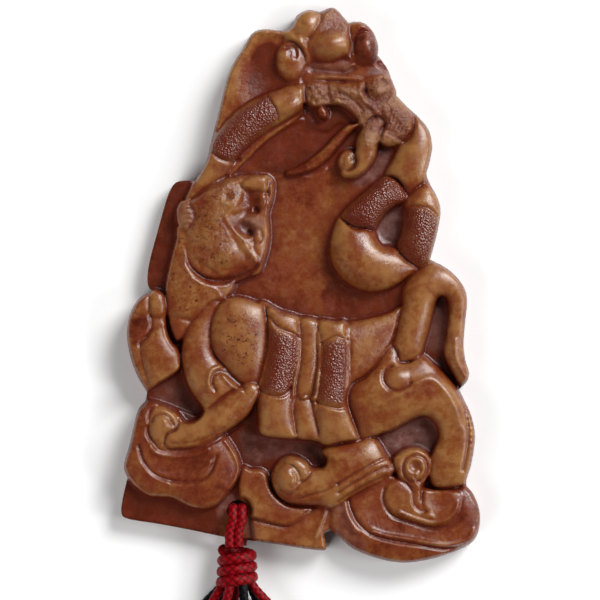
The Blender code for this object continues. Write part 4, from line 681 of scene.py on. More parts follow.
def carveBeastBody(cut):
    # trunk
    cut.form([(258, 303), (280, 311), (300, 317), (320, 321), (350, 322), (376, 317.5), (392, 312),
        (403, 306), (402, 318), (398, 331), (393, 343), (386, 354), (376, 366), (364, 377), (352, 385),
        (350, 400), (354, 420), (361, 438), (345, 442), (324, 444.5), (315, 440), (290, 438), (262, 434),
        (258, 418), (256, 398), (252, 380), (250, 340)], edge=4.7, swell=0.4)
    # bands round the trunk
    cut.form([(268, 308), (280, 312), (297, 318), (298, 335), (298.5, 350), (297, 363), (294, 376),
        (291.5, 390), (291.5, 412), (294, 428), (296, 438), (280, 438), (262, 434), (260, 420), (259.5, 400),
        (262, 384), (266, 368), (268.5, 350), (268, 330)], edge=6, swell=0.55)
    cut.form([(301, 319), (316.5, 321), (317, 335), (318, 352), (317.5, 368), (315.5, 382), (313, 396),
        (304, 396), (295, 396), (296, 382), (299, 366), (300.5, 350), (300.5, 335)], edge=5.7, swell=0.6)
    cut.form([(294, 398), (303, 399), (312, 399), (314, 412), (318, 428), (321.5, 441), (310, 440),
        (298, 438), (295.5, 426), (293, 411)], edge=5.6, swell=0.6)
    cut.form([(319, 321), (335, 322), (345, 322), (349.5, 338), (351, 355), (350, 372), (349, 390),
        (348, 404), (352, 416), (356, 427), (361, 438), (345, 441.5), (324, 444), (319, 430), (316.5, 415),
        (316, 402), (318.5, 388), (320, 370), (320.5, 350), (320, 335)], edge=6, swell=0.55)
    cut.line([(345.5, 326), (347, 345), (346.5, 370), (345.5, 390), (345, 405)], 1.3, -0.35)
    # ends of the scaled stretches
    cut.line([(269, 316), (276, 325), (284, 330), (292, 333), (298, 338)], 1.5, -0.45)
    cut.line([(260, 390), (268, 394), (278, 396), (286, 394), (291, 388)], 1.5, -0.45)
    cut.line([(321, 344), (328, 339), (336, 336), (345, 340)], 1.5, -0.4)
    cut.line([(316, 402), (325, 405), (337, 408), (347, 407)], 1.5, -0.45)
    cut.mark("scales", [(270, 328), (280, 334), (290, 337), (297, 342), (297, 358), (294, 374), (291, 387),
        (285, 392), (274, 393), (263, 388), (267, 370), (269.5, 350)])
    cut.mark("scales", [(322, 346), (330, 342), (339, 340), (345, 343), (346, 360), (345, 380), (344, 402),
        (334, 404), (325, 402), (318, 398), (320, 380), (321.5, 360)])


def carveChestAndForeleg(cut):
    # the neck runs down from behind the ear, then shoulder, chest and leg
    cut.form([(178, 226), (176, 240), (172, 254), (168.5, 270), (165, 287), (166, 300), (168, 316),
        (171, 330), (176, 341), (183, 338), (190, 328), (200, 320), (212, 310), (222, 302), (228, 296),
        (234, 288), (232, 276), (210, 262), (196, 240), (190, 228)], edge=4.6, swell=0.36)
    cut.line([(166, 319), (176, 318), (190, 320)], 3, -0.35)
    cut.form([(190, 325), (185, 335), (182, 345), (181, 356), (183, 368), (186, 380), (191, 392), (198, 402),
        (203, 409), (205, 418), (215, 424), (232, 420), (247, 408), (257, 396), (256, 388), (245, 385),
        (235, 377), (225, 366), (217, 358), (212, 349), (211, 338), (212, 325), (215, 314), (222, 305),
        (216, 300), (206, 306), (197, 316)], edge=4.8, swell=0.6)
    cut.form([(227, 298.5), (240, 298), (253, 301.5), (262, 306), (266, 313), (267.5, 325), (267.5, 340),
        (265.5, 356), (262, 370), (257, 384), (251, 387), (243, 384), (234, 377), (225, 367), (217, 357.5),
        (212, 349), (210.5, 338), (211, 325), (214, 314), (219.5, 305)], edge=5.2, swell=0.55)
    # lower leg with the scroll at its elbow and the fur at its wrist
    cut.tube([(250, 392, 10, 6.6), (238, 404, 15, 6.8), (223, 416, 15, 6.8), (208, 426, 14, 6.6),
        (193, 433, 13.5, 6.5), (178, 437, 13, 6.3), (166, 437, 12, 6.1), (158, 432, 11, 5.9)], drop=0.6)
    cut.line([(209, 386), (208.5, 378), (212, 370), (220, 366.5)], 1.4, 0.4)
    cut.line([(216, 391), (212.5, 384), (213.5, 376), (219, 371.5), (226, 374), (235, 382),
        (245, 389)], 1.5, -0.45)
    cut.line([(223, 376), (231, 385), (241, 391)], 1.5, 0.4)
    for a in range(9):
        cut.line([(238 + 2.2 * a, 398 + 2.4 * a), (228 + 2.6 * a, 411 + 2 * a)], 0.7, -0.16)
    cut.line([(160, 448), (175, 449), (195, 449), (212, 443), (228, 433), (242, 424)], 1.6, -0.4)
    cut.line([(170, 444), (190, 443), (208, 437), (224, 428)], 1.2, -0.25)
    cut.mark("pits", [(178, 240), (170, 280), (172, 312), (190, 312), (204, 304), (206, 288), (190, 270),
        (188, 240)])
    cut.mark("pits", [(222, 320), (240, 312), (258, 330), (260, 352), (250, 368), (232, 360), (218, 344)])


def carveRaisedPaw(cut):
    cut.form([(149, 291), (140, 295), (132, 303), (126, 315), (124, 330), (124, 344), (127, 358), (133, 371),
        (139, 381), (147, 391), (155, 386), (163, 381), (172, 375.5), (179, 369.5), (180.5, 360), (178, 350),
        (174, 346), (169, 338), (165.5, 328), (166, 318), (167.5, 305), (165, 297),
        (158, 292)], edge=4.5, swell=0.3)
    cut.form([(140, 340), (141, 352), (143, 364), (147, 376), (152, 387), (158, 383), (166, 378), (174, 373),
        (179, 368), (180, 360), (178, 351), (173, 346), (168, 339), (164, 327), (158, 326), (152, 330),
        (147, 336)], edge=5, swell=0.5)
    cut.form([(148, 294), (141, 296.5), (135, 302), (132, 309), (136, 314.5), (143, 315.5), (148.5, 311),
        (150, 303)], edge=4.9, swell=0.7)
    cut.form([(151, 292), (157, 291), (162.5, 294), (165, 302), (164.5, 312), (161, 318), (155, 318.5),
        (150.5, 315), (149, 304)], edge=5, swell=0.7)
    cut.line([(150, 316), (152, 324), (148, 335), (140, 345)], 1.6, -0.4)
    cut.line([(164, 324), (166, 334), (170, 343), (175, 348.5)], 1.3, 0.4)
    cut.line([(158, 383), (166, 378), (174, 373), (180, 367)], 2.2, 0.25)
    cut.mark("dark", [(131, 318), (142, 317), (150, 318), (150, 330), (142, 342), (132, 344), (128, 330)])


def carveBeastHead(cut):
    # the ear, a ridged fist
    cut.form([(186, 200.5), (180, 202), (177, 209), (177, 219), (180, 227), (187, 230.5), (194, 228),
        (197, 216), (195, 205), (190, 201)], edge=5.0, swell=0.6)
    for a in range(5):
        cut.line([(178 + 0.7 * a, 206 + 5 * a), (187, 204 + 5 * a), (195, 207 + 4.6 * a)], 1.0, -0.3)
    cut.form([(190, 203), (198, 196), (208, 188.5), (219, 182), (231, 177.5), (245, 175.5), (259, 175),
        (268, 176.5), (272.5, 182), (273, 192), (271, 202), (268, 211), (268, 222), (269, 236), (267, 250),
        (263, 263), (259, 273), (248, 277), (237, 281.5), (226, 284.5), (214, 284), (204, 280), (196, 273),
        (190, 264), (186.5, 252), (186, 240), (188, 228), (194, 218)], edge=5.1, swell=0.2)
    # forehead and cheek
    cut.boss(222, 205, 30, 24, 0.7, turn=-30)
    cut.boss(212, 232, 24, 24, 0.5)
    cut.line([(192, 205), (204, 196), (215, 189.5), (226, 185), (240, 181)], 2.4, 0.35)
    cut.line([(220, 192), (226, 188), (233, 190), (235.5, 197), (231, 204), (224, 205)], 2.0, 0.2)
    cut.boss(227, 197, 5, 5, -0.3)
    # nose, and the palate behind it
    cut.form([(243, 182), (250, 178), (258, 176.8), (266, 177.5), (267, 184), (266.5, 191), (259, 190),
        (250, 190), (244, 188)], edge=6.0, swell=0.45)
    cut.line([(268.5, 178), (268.5, 188), (267.5, 194)], 1.3, -0.5)
    cut.boss(249, 203, 13, 18, -0.75, turn=10)
    cut.boss(257, 210, 4.5, 5, -0.9)
    cut.form([(258, 196), (262, 193), (266, 195.5), (267, 202), (264.5, 208),
        (260.5, 207)], edge=5.6, swell=0.8)
    cut.line([(270, 186), (271, 196), (269, 207), (266, 215)], 1.8, 0.3)
    # open mouth with its lower fang, and the lip that rims it
    cut.boss(246, 229, 13, 9, -1.1, turn=35, power=3)
    cut.boss(250, 232.5, 4, 5, -0.8)
    cut.boss(242, 215, 12, 7, -0.5, turn=-20)
    cut.form([(253, 242), (253.5, 234), (256.5, 229), (260.5, 230), (262, 236),
        (260, 243)], edge=5.2, swell=0.9)
    cut.line([(225, 217), (230, 226), (237, 234), (243, 240), (249, 247)], 1.4, 0.25)
    cut.line([(244, 246), (249, 251), (253, 257), (257, 264)], 3.2, 0.5)
    cut.line([(226, 216), (232, 209), (238, 202), (241, 194)], 1.6, 0.3)
    cut.boss(260, 252, 8, 18, 0.3)
    # jaw
    cut.boss(229, 256, 20, 14, 0.6)
    # the folds under the jaw and the collar of loose skin
    cut.hollow([(187, 256), (194, 266), (206, 273), (220, 275), (236, 273), (250, 267), (259, 260),
        (260, 270), (248, 280), (226, 286), (204, 283), (192, 275), (185, 264)], 4.5, wall=7)
    for a in range(9):
        cut.line([(198 + 2.4 * a, 259 + 1.7 * a), (200.5 + 2.5 * a, 271 + 0.8 * a)], 0.8, -0.3)
    cut.line([(191, 278), (202, 285), (212, 288), (218, 292.5), (220, 298)], 1.3, 0.2)
    cut.mark("pits", [(192, 205), (206, 192), (230, 180), (246, 182), (240, 200), (226, 216), (232, 234),
        (240, 250), (228, 264), (206, 268), (192, 256), (190, 230)])
    cut.mark("rough", [(192, 205), (206, 192), (230, 180), (240, 188), (236, 200), (224, 216), (230, 234),
        (234, 248), (222, 262), (206, 266), (192, 254), (190, 230)], 0.5)
    cut.mark("grey", [(179, 203), (190, 202), (195, 212), (193, 226), (184, 229), (178, 220)], 0.45)
    cut.mark("grey", [(232, 222), (240, 217), (250, 215), (262, 222), (256, 236), (246, 236),
        (238, 231)], 0.6)
    # painted darker on the front of the nose and, as painted shade, in the hollow of the palate
    cut.mark("dark", [(267, 177), (273, 184), (272, 196), (268, 214), (260, 216), (252, 214), (244, 206),
        (248, 194), (258, 192), (266, 192)], 0.7)
    # painted shade under the jaw
    cut.mark("dark", [(232, 270), (244, 264), (256, 262), (262, 256), (258, 270), (246, 282), (226, 287),
        (206, 284), (194, 274), (190, 262), (204, 274), (220, 279)], 0.7)


def carveTail(cut):
    cut.form([(431, 262), (420, 268.5), (411, 276), (405, 284), (403, 293), (402, 306), (398, 322),
        (393, 341), (388, 352), (388, 362), (397, 363), (410, 361), (420, 356), (425, 342), (430, 325),
        (434, 308), (438, 299), (443, 296.5), (448, 301), (449, 315), (447, 335), (444, 350), (447, 362),
        (453, 374), (459, 384), (466, 386), (471, 377), (469, 364), (466, 350), (466, 330), (468, 312),
        (470, 300), (467, 287), (459, 275), (446, 265)], edge=4.3, swell=0.9)
    cut.hollow([(443, 296), (437, 301), (433, 314), (429, 330), (424, 346), (422, 355), (430, 361),
        (440, 368), (450, 377), (455, 380), (449, 366), (445, 352), (448, 335), (450, 316),
        (449, 302)], 3.5, wall=3)
    cut.mark("grey", [(442, 300), (437, 304), (434, 314), (430, 330), (426, 345), (433, 351), (443, 352),
        (446, 335), (448, 316)], 0.6)
    cut.line([(455, 340), (455, 356), (460, 368), (466, 378)], 1.5, 0.3)
    cut.line([(390, 363), (397, 360.5), (406, 361), (414, 359)], 1.5, 0.35)


def carveHindLeg(cut):
    cut.form([(385, 352), (392, 345), (398, 352), (400, 362), (410, 362), (422, 356), (433, 364), (445, 375),
        (456, 388), (464, 401), (473, 417), (479, 440), (474, 465), (468, 482), (458, 486.5), (444, 488),
        (434, 486), (429, 474), (429, 462), (434, 450), (439, 438), (438, 428), (432, 419.5), (424, 416),
        (414, 419), (404, 424), (396, 429), (384, 433), (372, 437), (360, 439), (354, 425), (349, 411),
        (347, 399), (351, 386), (364, 378), (376, 366)], edge=4.8, swell=0.5)
    # the scroll at the hip
    cut.line([(392, 366), (385, 371), (383.5, 380), (389, 388), (398, 390), (406, 387),
        (411, 383)], 2.0, -0.5)
    cut.boss(398, 376, 12, 10, 0.4)
    cut.line([(378, 404), (389, 399), (400, 393), (410, 387), (421, 381), (432, 379), (441, 386), (450, 398),
        (456, 411), (459, 425)], 4.0, 0.35)
    # fur along the back of the leg
    cut.line([(440, 371), (450, 383), (459, 397), (465, 412), (468, 430), (467, 450),
        (463, 470)], 1.5, -0.45)
    for a in range(17):
        x = 447 + 24 * math.sin(0.12 * a + 0.18)
        cut.line([(x, 376 + 6.2 * a), (x + 6, 379 + 6.2 * a)], 1.2, -0.25)
    cut.hollow([(383, 437), (392, 431), (402, 427), (412, 421), (422, 417.5), (431, 419), (437, 427),
        (438.5, 437), (434, 448), (428, 457), (415, 450), (405, 449), (397, 456), (388, 455),
        (383, 447)], 3.5, wall=3)
    cut.mark("grey", [(385, 438), (393, 432), (403, 427), (413, 422), (423, 419), (431, 421), (436, 430),
        (434, 444), (426, 452), (414, 448), (404, 447), (396, 452), (388, 452)])


def carveHindFoot(cut):
    cut.form([(322, 452), (328, 446), (345, 443), (360, 440), (373, 438), (380, 445), (386, 455), (396, 470),
        (384, 480), (366, 489), (350, 498), (333, 508), (320, 506), (300, 505), (288, 503), (279, 497),
        (273, 487), (272, 476), (275, 467), (282, 459), (292, 456), (302, 460), (310, 468), (322, 468),
        (327, 460)], edge=4.6, swell=0.6)
    for shift, depth in [(0, -0.45), (9, -0.45), (18, -0.4)]:
        cut.line([(386, 458 + shift), (370, 465 + shift), (352, 475 + shift),
            (338, 484 + shift)], 1.5, depth)
    cut.line([(338, 484), (325, 491), (310, 495), (298, 499)], 1.4, -0.35)
    # two toes, the lower one curled
    cut.form([(284, 460), (292, 457), (302, 460), (309, 467), (309, 476), (303, 482), (296, 478),
        (288, 468)], edge=5.4, swell=0.9)
    cut.form([(278, 471), (285, 464.5), (293, 466), (299, 473), (300, 482), (296, 490), (290, 494),
        (283, 491), (278, 482)], edge=5.6, swell=0.9)
    cut.line([(293, 472), (296, 478), (295, 485), (290, 488)], 1.3, -0.35)
    # claw ring over the other foot
    cut.form([(393, 460), (399, 453), (408, 448.5), (418, 448), (427, 453), (431, 462), (430, 473),
        (425, 482), (422, 490), (422, 504), (427, 512), (420, 512), (413, 504), (412, 492), (408, 484),
        (400, 479), (396, 470)], edge=5, swell=0.6)
    cut.line([(412, 482), (405, 477), (403, 468), (406, 459), (415, 455.5), (424, 459), (427, 468),
        (424, 477), (419, 482)], 1.7, -0.55)
    cut.boss(415, 466, 8, 8, -0.7, power=3)
    cut.line([(414, 476), (418, 482), (419, 474), (421, 470)], 1.2, -0.4)
    cut.line([(422, 484), (422.5, 492), (422, 500)], 1.4, -0.6)


def carveLeftCloud(cut):
    cut.form([(142, 402), (135, 412), (129, 440), (121, 466), (125, 475), (130, 480), (134, 486),
        (142, 492.5), (150, 496.5), (160, 497), (172, 498.5), (180, 502), (190, 507), (202, 509), (213, 507),
        (222, 500), (230, 491), (236, 482), (239, 473), (239.5, 464), (235, 452), (228, 441), (215, 425),
        (190, 415), (165, 405), (152, 401)], edge=4.5, swell=0.3)
    cut.mark("dark", [(142, 402), (130, 440), (124, 468), (140, 488), (180, 500), (208, 506), (226, 492),
        (236, 470), (226, 442), (190, 417), (160, 404)], 0.6)
    # dish of the curl
    cut.boss(180, 462, 38, 25, -0.9, power=3)
    cut.line([(139, 446), (142, 458), (148, 469), (158, 477), (172, 481), (190, 482), (203, 480), (211, 472),
        (217, 456)], 1.7, -0.5)
    cut.line([(143, 466), (150, 472.5), (158, 478.5), (168, 482)], 1.3, 0.3)
    cut.line([(150, 446), (156, 453), (166, 456), (180, 457), (196, 455), (208, 450)], 1.5, 0.35)
    cut.line([(200, 472), (206, 468), (210, 462)], 1.6, 0.3)
    cut.line([(152, 416), (161, 413), (170, 419), (172, 430), (165, 440), (155, 441)], 1.2, -0.35)
    cut.line([(157, 424), (163, 424), (164, 431), (158, 434)], 1.1, -0.35)
    cut.line([(225, 441), (231, 449), (236, 458), (239, 467), (236, 478), (229, 489)], 1.6, 0.4)


def carveFrontFoot(cut):
    cut.form([(149, 420), (151, 412), (157, 407), (166, 408), (174, 413), (178, 421), (176, 430), (168, 434),
        (165, 444), (170, 450), (160, 450), (153, 443), (149, 432)], edge=5, swell=0.8)
    cut.line([(152, 422), (155, 416), (162, 414.5), (169, 418), (173, 425)], 1.6, -0.5)
    cut.line([(164, 421), (166, 426), (164, 431)], 1.2, 0.3)
    cut.line([(146, 424), (145, 414), (150, 407), (158, 404)], 1.5, 0.35)


def carveRightCloud(cut):
    cut.form([(331, 507), (342, 501), (352, 496), (365, 489), (376, 484), (386, 478), (395, 476), (405, 482),
        (420, 487), (440, 490), (460, 488), (468, 486), (476, 496), (483, 512), (482, 532), (474, 546),
        (448, 558), (422, 565), (398, 566), (374, 561), (351, 551), (337, 538), (331, 530),
        (328, 518)], edge=4.1, swell=0.3)
    cut.mark("dark", [(340, 504), (380, 484), (420, 490), (468, 490), (480, 520), (470, 545), (430, 560),
        (380, 556), (345, 540)], 0.5)
    # the left flank, painted pale grey, partly as a painted highlight on its rough slope
    cut.mark("grey", [(333, 508), (345, 504), (350, 524), (366, 546), (355, 551), (338, 533)], 0.45)
    cut.boss(412, 514, 55, 32, -0.8, power=4)
    cut.line([(348, 499), (351, 509), (356, 520), (364, 529), (375, 536), (395, 541), (420, 545), (445, 549),
        (462, 546)], 2.0, -0.5)
    cut.line([(345, 502), (346, 512), (350, 522), (357, 532)], 2.4, 0.3)
    cut.line([(372, 531), (385, 535.5), (400, 538), (418, 541), (440, 545), (456, 544), (468, 539),
        (474, 530)], 1.8, 0.45)
    # inner curl
    cut.form([(399, 480), (391, 483), (385, 491), (384, 501), (388, 510), (395, 516), (408, 521), (422, 525),
        (436, 526.5), (448, 524), (457, 516), (461, 505), (461, 494), (450, 491), (430, 490),
        (412, 487)], edge=4.9, swell=0.3)
    cut.boss(436, 500, 20, 15, -0.5)
    cut.line([(399, 512), (410, 517), (422, 521), (434, 523), (446, 520), (454, 513), (458, 503)], 1.6, 0.45)
    cut.line([(413, 488), (414, 500), (418, 508), (425, 514), (433, 517)], 1.8, 0.25)
    cut.line([(385, 489), (384, 500), (389, 511), (395, 517), (410, 522), (430, 528), (450, 527),
        (461, 519)], 1.8, -0.35)
    cut.line([(358, 490), (372, 487), (384, 480.5), (394, 477.5)], 1.4, 0.3)


def carveFootPanel(cut):
    cut.form([(243, 467), (250, 470), (261, 470.5), (266, 475), (268, 483), (272, 492), (279, 500),
        (288, 506), (300, 508), (315, 508), (326, 506), (331, 510), (327, 520), (324, 530), (324, 537),
        (330, 545), (326, 556), (300, 553), (275, 549), (246, 545), (246, 530), (247, 515), (242, 502),
        (239, 488), (240, 475)], edge=4.5, swell=0.12)
    cut.form([(246, 519), (262, 522), (276, 525), (288, 527), (298, 523), (307, 515), (314, 509), (326, 508),
        (331, 512), (328, 540), (328, 556), (246, 546)], edge=4.15, swell=0.1)
    cut.line([(248, 518), (262, 521), (276, 524.5), (288, 526), (298, 521), (306, 513),
        (314, 508.5)], 1.6, -0.4)
    cut.line([(326, 508), (323, 518), (319, 529), (315, 539)], 1.5, 0.4)
    cut.hollow([(236, 428), (250, 426), (262, 434), (290, 439), (316, 442), (325, 446), (325.5, 456),
        (322, 467), (310, 469), (302, 460), (292, 456), (282, 459), (274, 466), (262, 468), (244, 466),
        (238, 452)], 3.5, wall=3)
    # the recess is painted darker, partly as painted shade
    cut.mark("dark", [(236, 428), (250, 426), (262, 434), (290, 439), (316, 442), (325, 446), (325, 456),
        (320, 467), (302, 460), (282, 459), (274, 466), (244, 466), (238, 452)])
    cut.mark("grey", [(240, 432), (262, 437), (290, 442), (320, 446), (322, 458), (296, 454), (262, 462),
        (246, 460)], 0.6)


def cutForelegRecess(cut):
    recess = [(152, 390), (160, 384), (172, 377), (181, 372), (186, 382), (192, 392), (200, 403), (204, 412),
        (198, 421), (186, 424), (178, 416), (168, 408), (156, 404), (149, 399)]
    cut.hollow(recess, 3.5, wall=3)
    # the recess is painted darker, partly as painted shade
    cut.mark("dark", recess)
    cut.mark("grey", [(156, 390), (172, 380), (184, 386), (196, 404), (192, 418), (176, 408), (158, 400)],
        0.45)


def cordTroughWearAndSheen(cut):
    cut.hollow([(219, 506), (224, 499), (236, 494), (249, 498), (254, 508), (253, 520), (252, 550),
        (214, 550), (216, 520)], plaque["trough"], wall=4)
    # the rough walls beside the cord, painted pale grey, partly as a painted highlight where they catch the
    # light
    cut.mark("grey", [(217, 512), (223, 501), (232, 496), (236, 501), (228, 508), (222, 522)], 0.8)
    cut.mark("grey", [(245, 520), (254, 522), (256, 538), (248, 538)], 0.6)


# The order matters, because a later form lies over the earlier ones
carvers = (layGround, carveCloudHead, carveDragonBack, carveDragonCoils, carveDragonHead, carveRaisedPaw,
           carveLeftCloud, carveRightCloud, carveFootPanel, carveBeastBody, carveChestAndForeleg,
           cutForelegRecess, carveFrontFoot, carveBeastHead, carveTail, carveHindLeg, carveHindFoot,
           cordTroughWearAndSheen)
stone = {"pitch": 0.186 * mm, "margin": 0.6, "chamfer": 0.25 * mm, "holeSides": 48,
         "drill": 30 * mm, "backUpTo": 1.5}


def carvedPlaque(material):
    relief = Relief()
    for carve in carvers:
        carve(relief)
    stage("Carving laid out")
    outline = smoothCurve(plaqueOutline, closed=True, step=carving["outlineStep"])
    gap = edgeDistance(outline, relief.x, relief.y)
    inside = np.clip(-gap / carving["rollWidth"], 0, 1)
    low = carving["plateLevel"]
    roll = low + (carving["rollTop"] - low) * np.sqrt(1 - (1 - inside) ** 2)
    relief.level = blur(np.minimum(relief.level, roll), carving["polish"])
    cavity = relief.level - blur(relief.level, carving["cavityReach"])
    crease = relief.level - blur(relief.level, carving["creaseReach"])

    bm = bmesh.new()
    columns = round(plaque["width"] / stone["pitch"]) + 2
    rows = round(plaque["height"] / stone["pitch"]) + 2
    bmesh.ops.create_grid(bm, x_segments=columns, y_segments=rows, size=0.5)
    bmesh.ops.scale(bm, vec=(columns * stone["pitch"], rows * stone["pitch"], 1), verts=bm.verts)
    spots = np.array([vert.co[:2] for vert in bm.verts])
    away = relief.at(gap, *drawnPlaces(spots))
    limit = -stone["margin"] * stone["pitch"] * drawnScale
    beyond = [vert for vert, far in zip(bm.verts, away) if far > limit]
    bmesh.ops.delete(bm, geom=beyond, context="VERTS")
    loose = [vert for vert in bm.verts if not vert.link_faces]
    bmesh.ops.delete(bm, geom=loose, context="VERTS")
    # the grid's stepped edge moves out onto the outline
    edge = np.array([(plaqueX(x), plaqueY(y)) for x, y in outline])
    edge = np.vstack([edge, edge[:1]])
    starts, runs = edge[:-1], np.diff(edge, axis=0)
    lengths = np.maximum((runs ** 2).sum(1), 1e-15)
    for vert in (v for v in bm.verts if v.is_boundary):
        place = np.array(vert.co[:2])
        share = np.clip(((place - starts) * runs).sum(1) / lengths, 0, 1)
        feet = starts + runs * share[:, None]
        vert.co.x, vert.co.y = feet[((feet - place) ** 2).sum(1).argmin()]
    spots = np.array([vert.co[:2] for vert in bm.verts])
    heights = relief.at(relief.level, *drawnPlaces(spots)) * mm
    for vert, height in zip(bm.verts, heights):
        vert.co.z = height
    # wall, chamfer and back
    for height in (stone["chamfer"], 0):
        rim = [edge for edge in bm.edges if edge.is_boundary]
        made = bmesh.ops.extrude_edge_only(bm, edges=rim)["geom"]
        for vert in (item for item in made if isinstance(item, bmesh.types.BMVert)):
            vert.co.z = height
    bmesh.ops.contextual_create(bm, geom=[e for e in bm.edges if e.is_boundary])
    bmesh.ops.recalc_face_normals(bm, faces=bm.faces)
    piece = newObject("serpentine_plaque", bm, material)
    piece.data.shade_smooth()
    stage(f"Stone meshed, {len(piece.data.vertices)} points")

    # the cord hole, and the channel from it to the foot in the back
    bm = bmesh.new()
    bmesh.ops.create_cone(bm, cap_ends=True, segments=stone["holeSides"], radius1=plaque["holeRadius"],
                          radius2=plaque["holeRadius"], depth=stone["drill"])
    holeY = plaqueY(plaque["hole"][1])
    bmesh.ops.translate(bm, verts=bm.verts, vec=(holeX, holeY, 0))
    holeCutter = newObject("hole_cutter", bm)
    bm = bmesh.new()
    run = holeY + plaque["height"] / 2
    bmesh.ops.create_cube(bm, size=1)
    bmesh.ops.scale(bm, vec=(2 * plaque["holeRadius"], run, 2 * plaque["channel"]), verts=bm.verts)
    bmesh.ops.translate(bm, verts=bm.verts, vec=(holeX, holeY - run / 2, 0))
    channelCutter = newObject("channel_cutter", bm)
    for tool in (holeCutter, channelCutter):
        cutting = piece.modifiers.new(tool.name, "BOOLEAN")
        cutting.operation = "DIFFERENCE"
        cutting.object = tool
    graph = bpy.context.evaluated_depsgraph_get()
    mesh = bpy.data.meshes.new_from_object(piece.evaluated_get(graph))
    piece.modifiers.clear()
    piece.data = mesh
    for tool in (holeCutter, channelCutter):
        bpy.data.objects.remove(tool)
    # what the material reads fades out down the wall, so that the back stays plain
    spots = pointsOf(mesh)
    front = np.clip(spots[:, 2] / mm - stone["backUpTo"], 0, 1)
    layers = {"rise": (relief.level - low) / carving["riseSpan"], "cavity": cavity, "crease": crease,
              **relief.marks}
    for name, values in layers.items():
        storeValues(mesh, name, relief.at(values, *drawnPlaces(spots)) * front)
    stage(f"Hole cut, {len(mesh.loop_triangles)} triangles")
    return piece


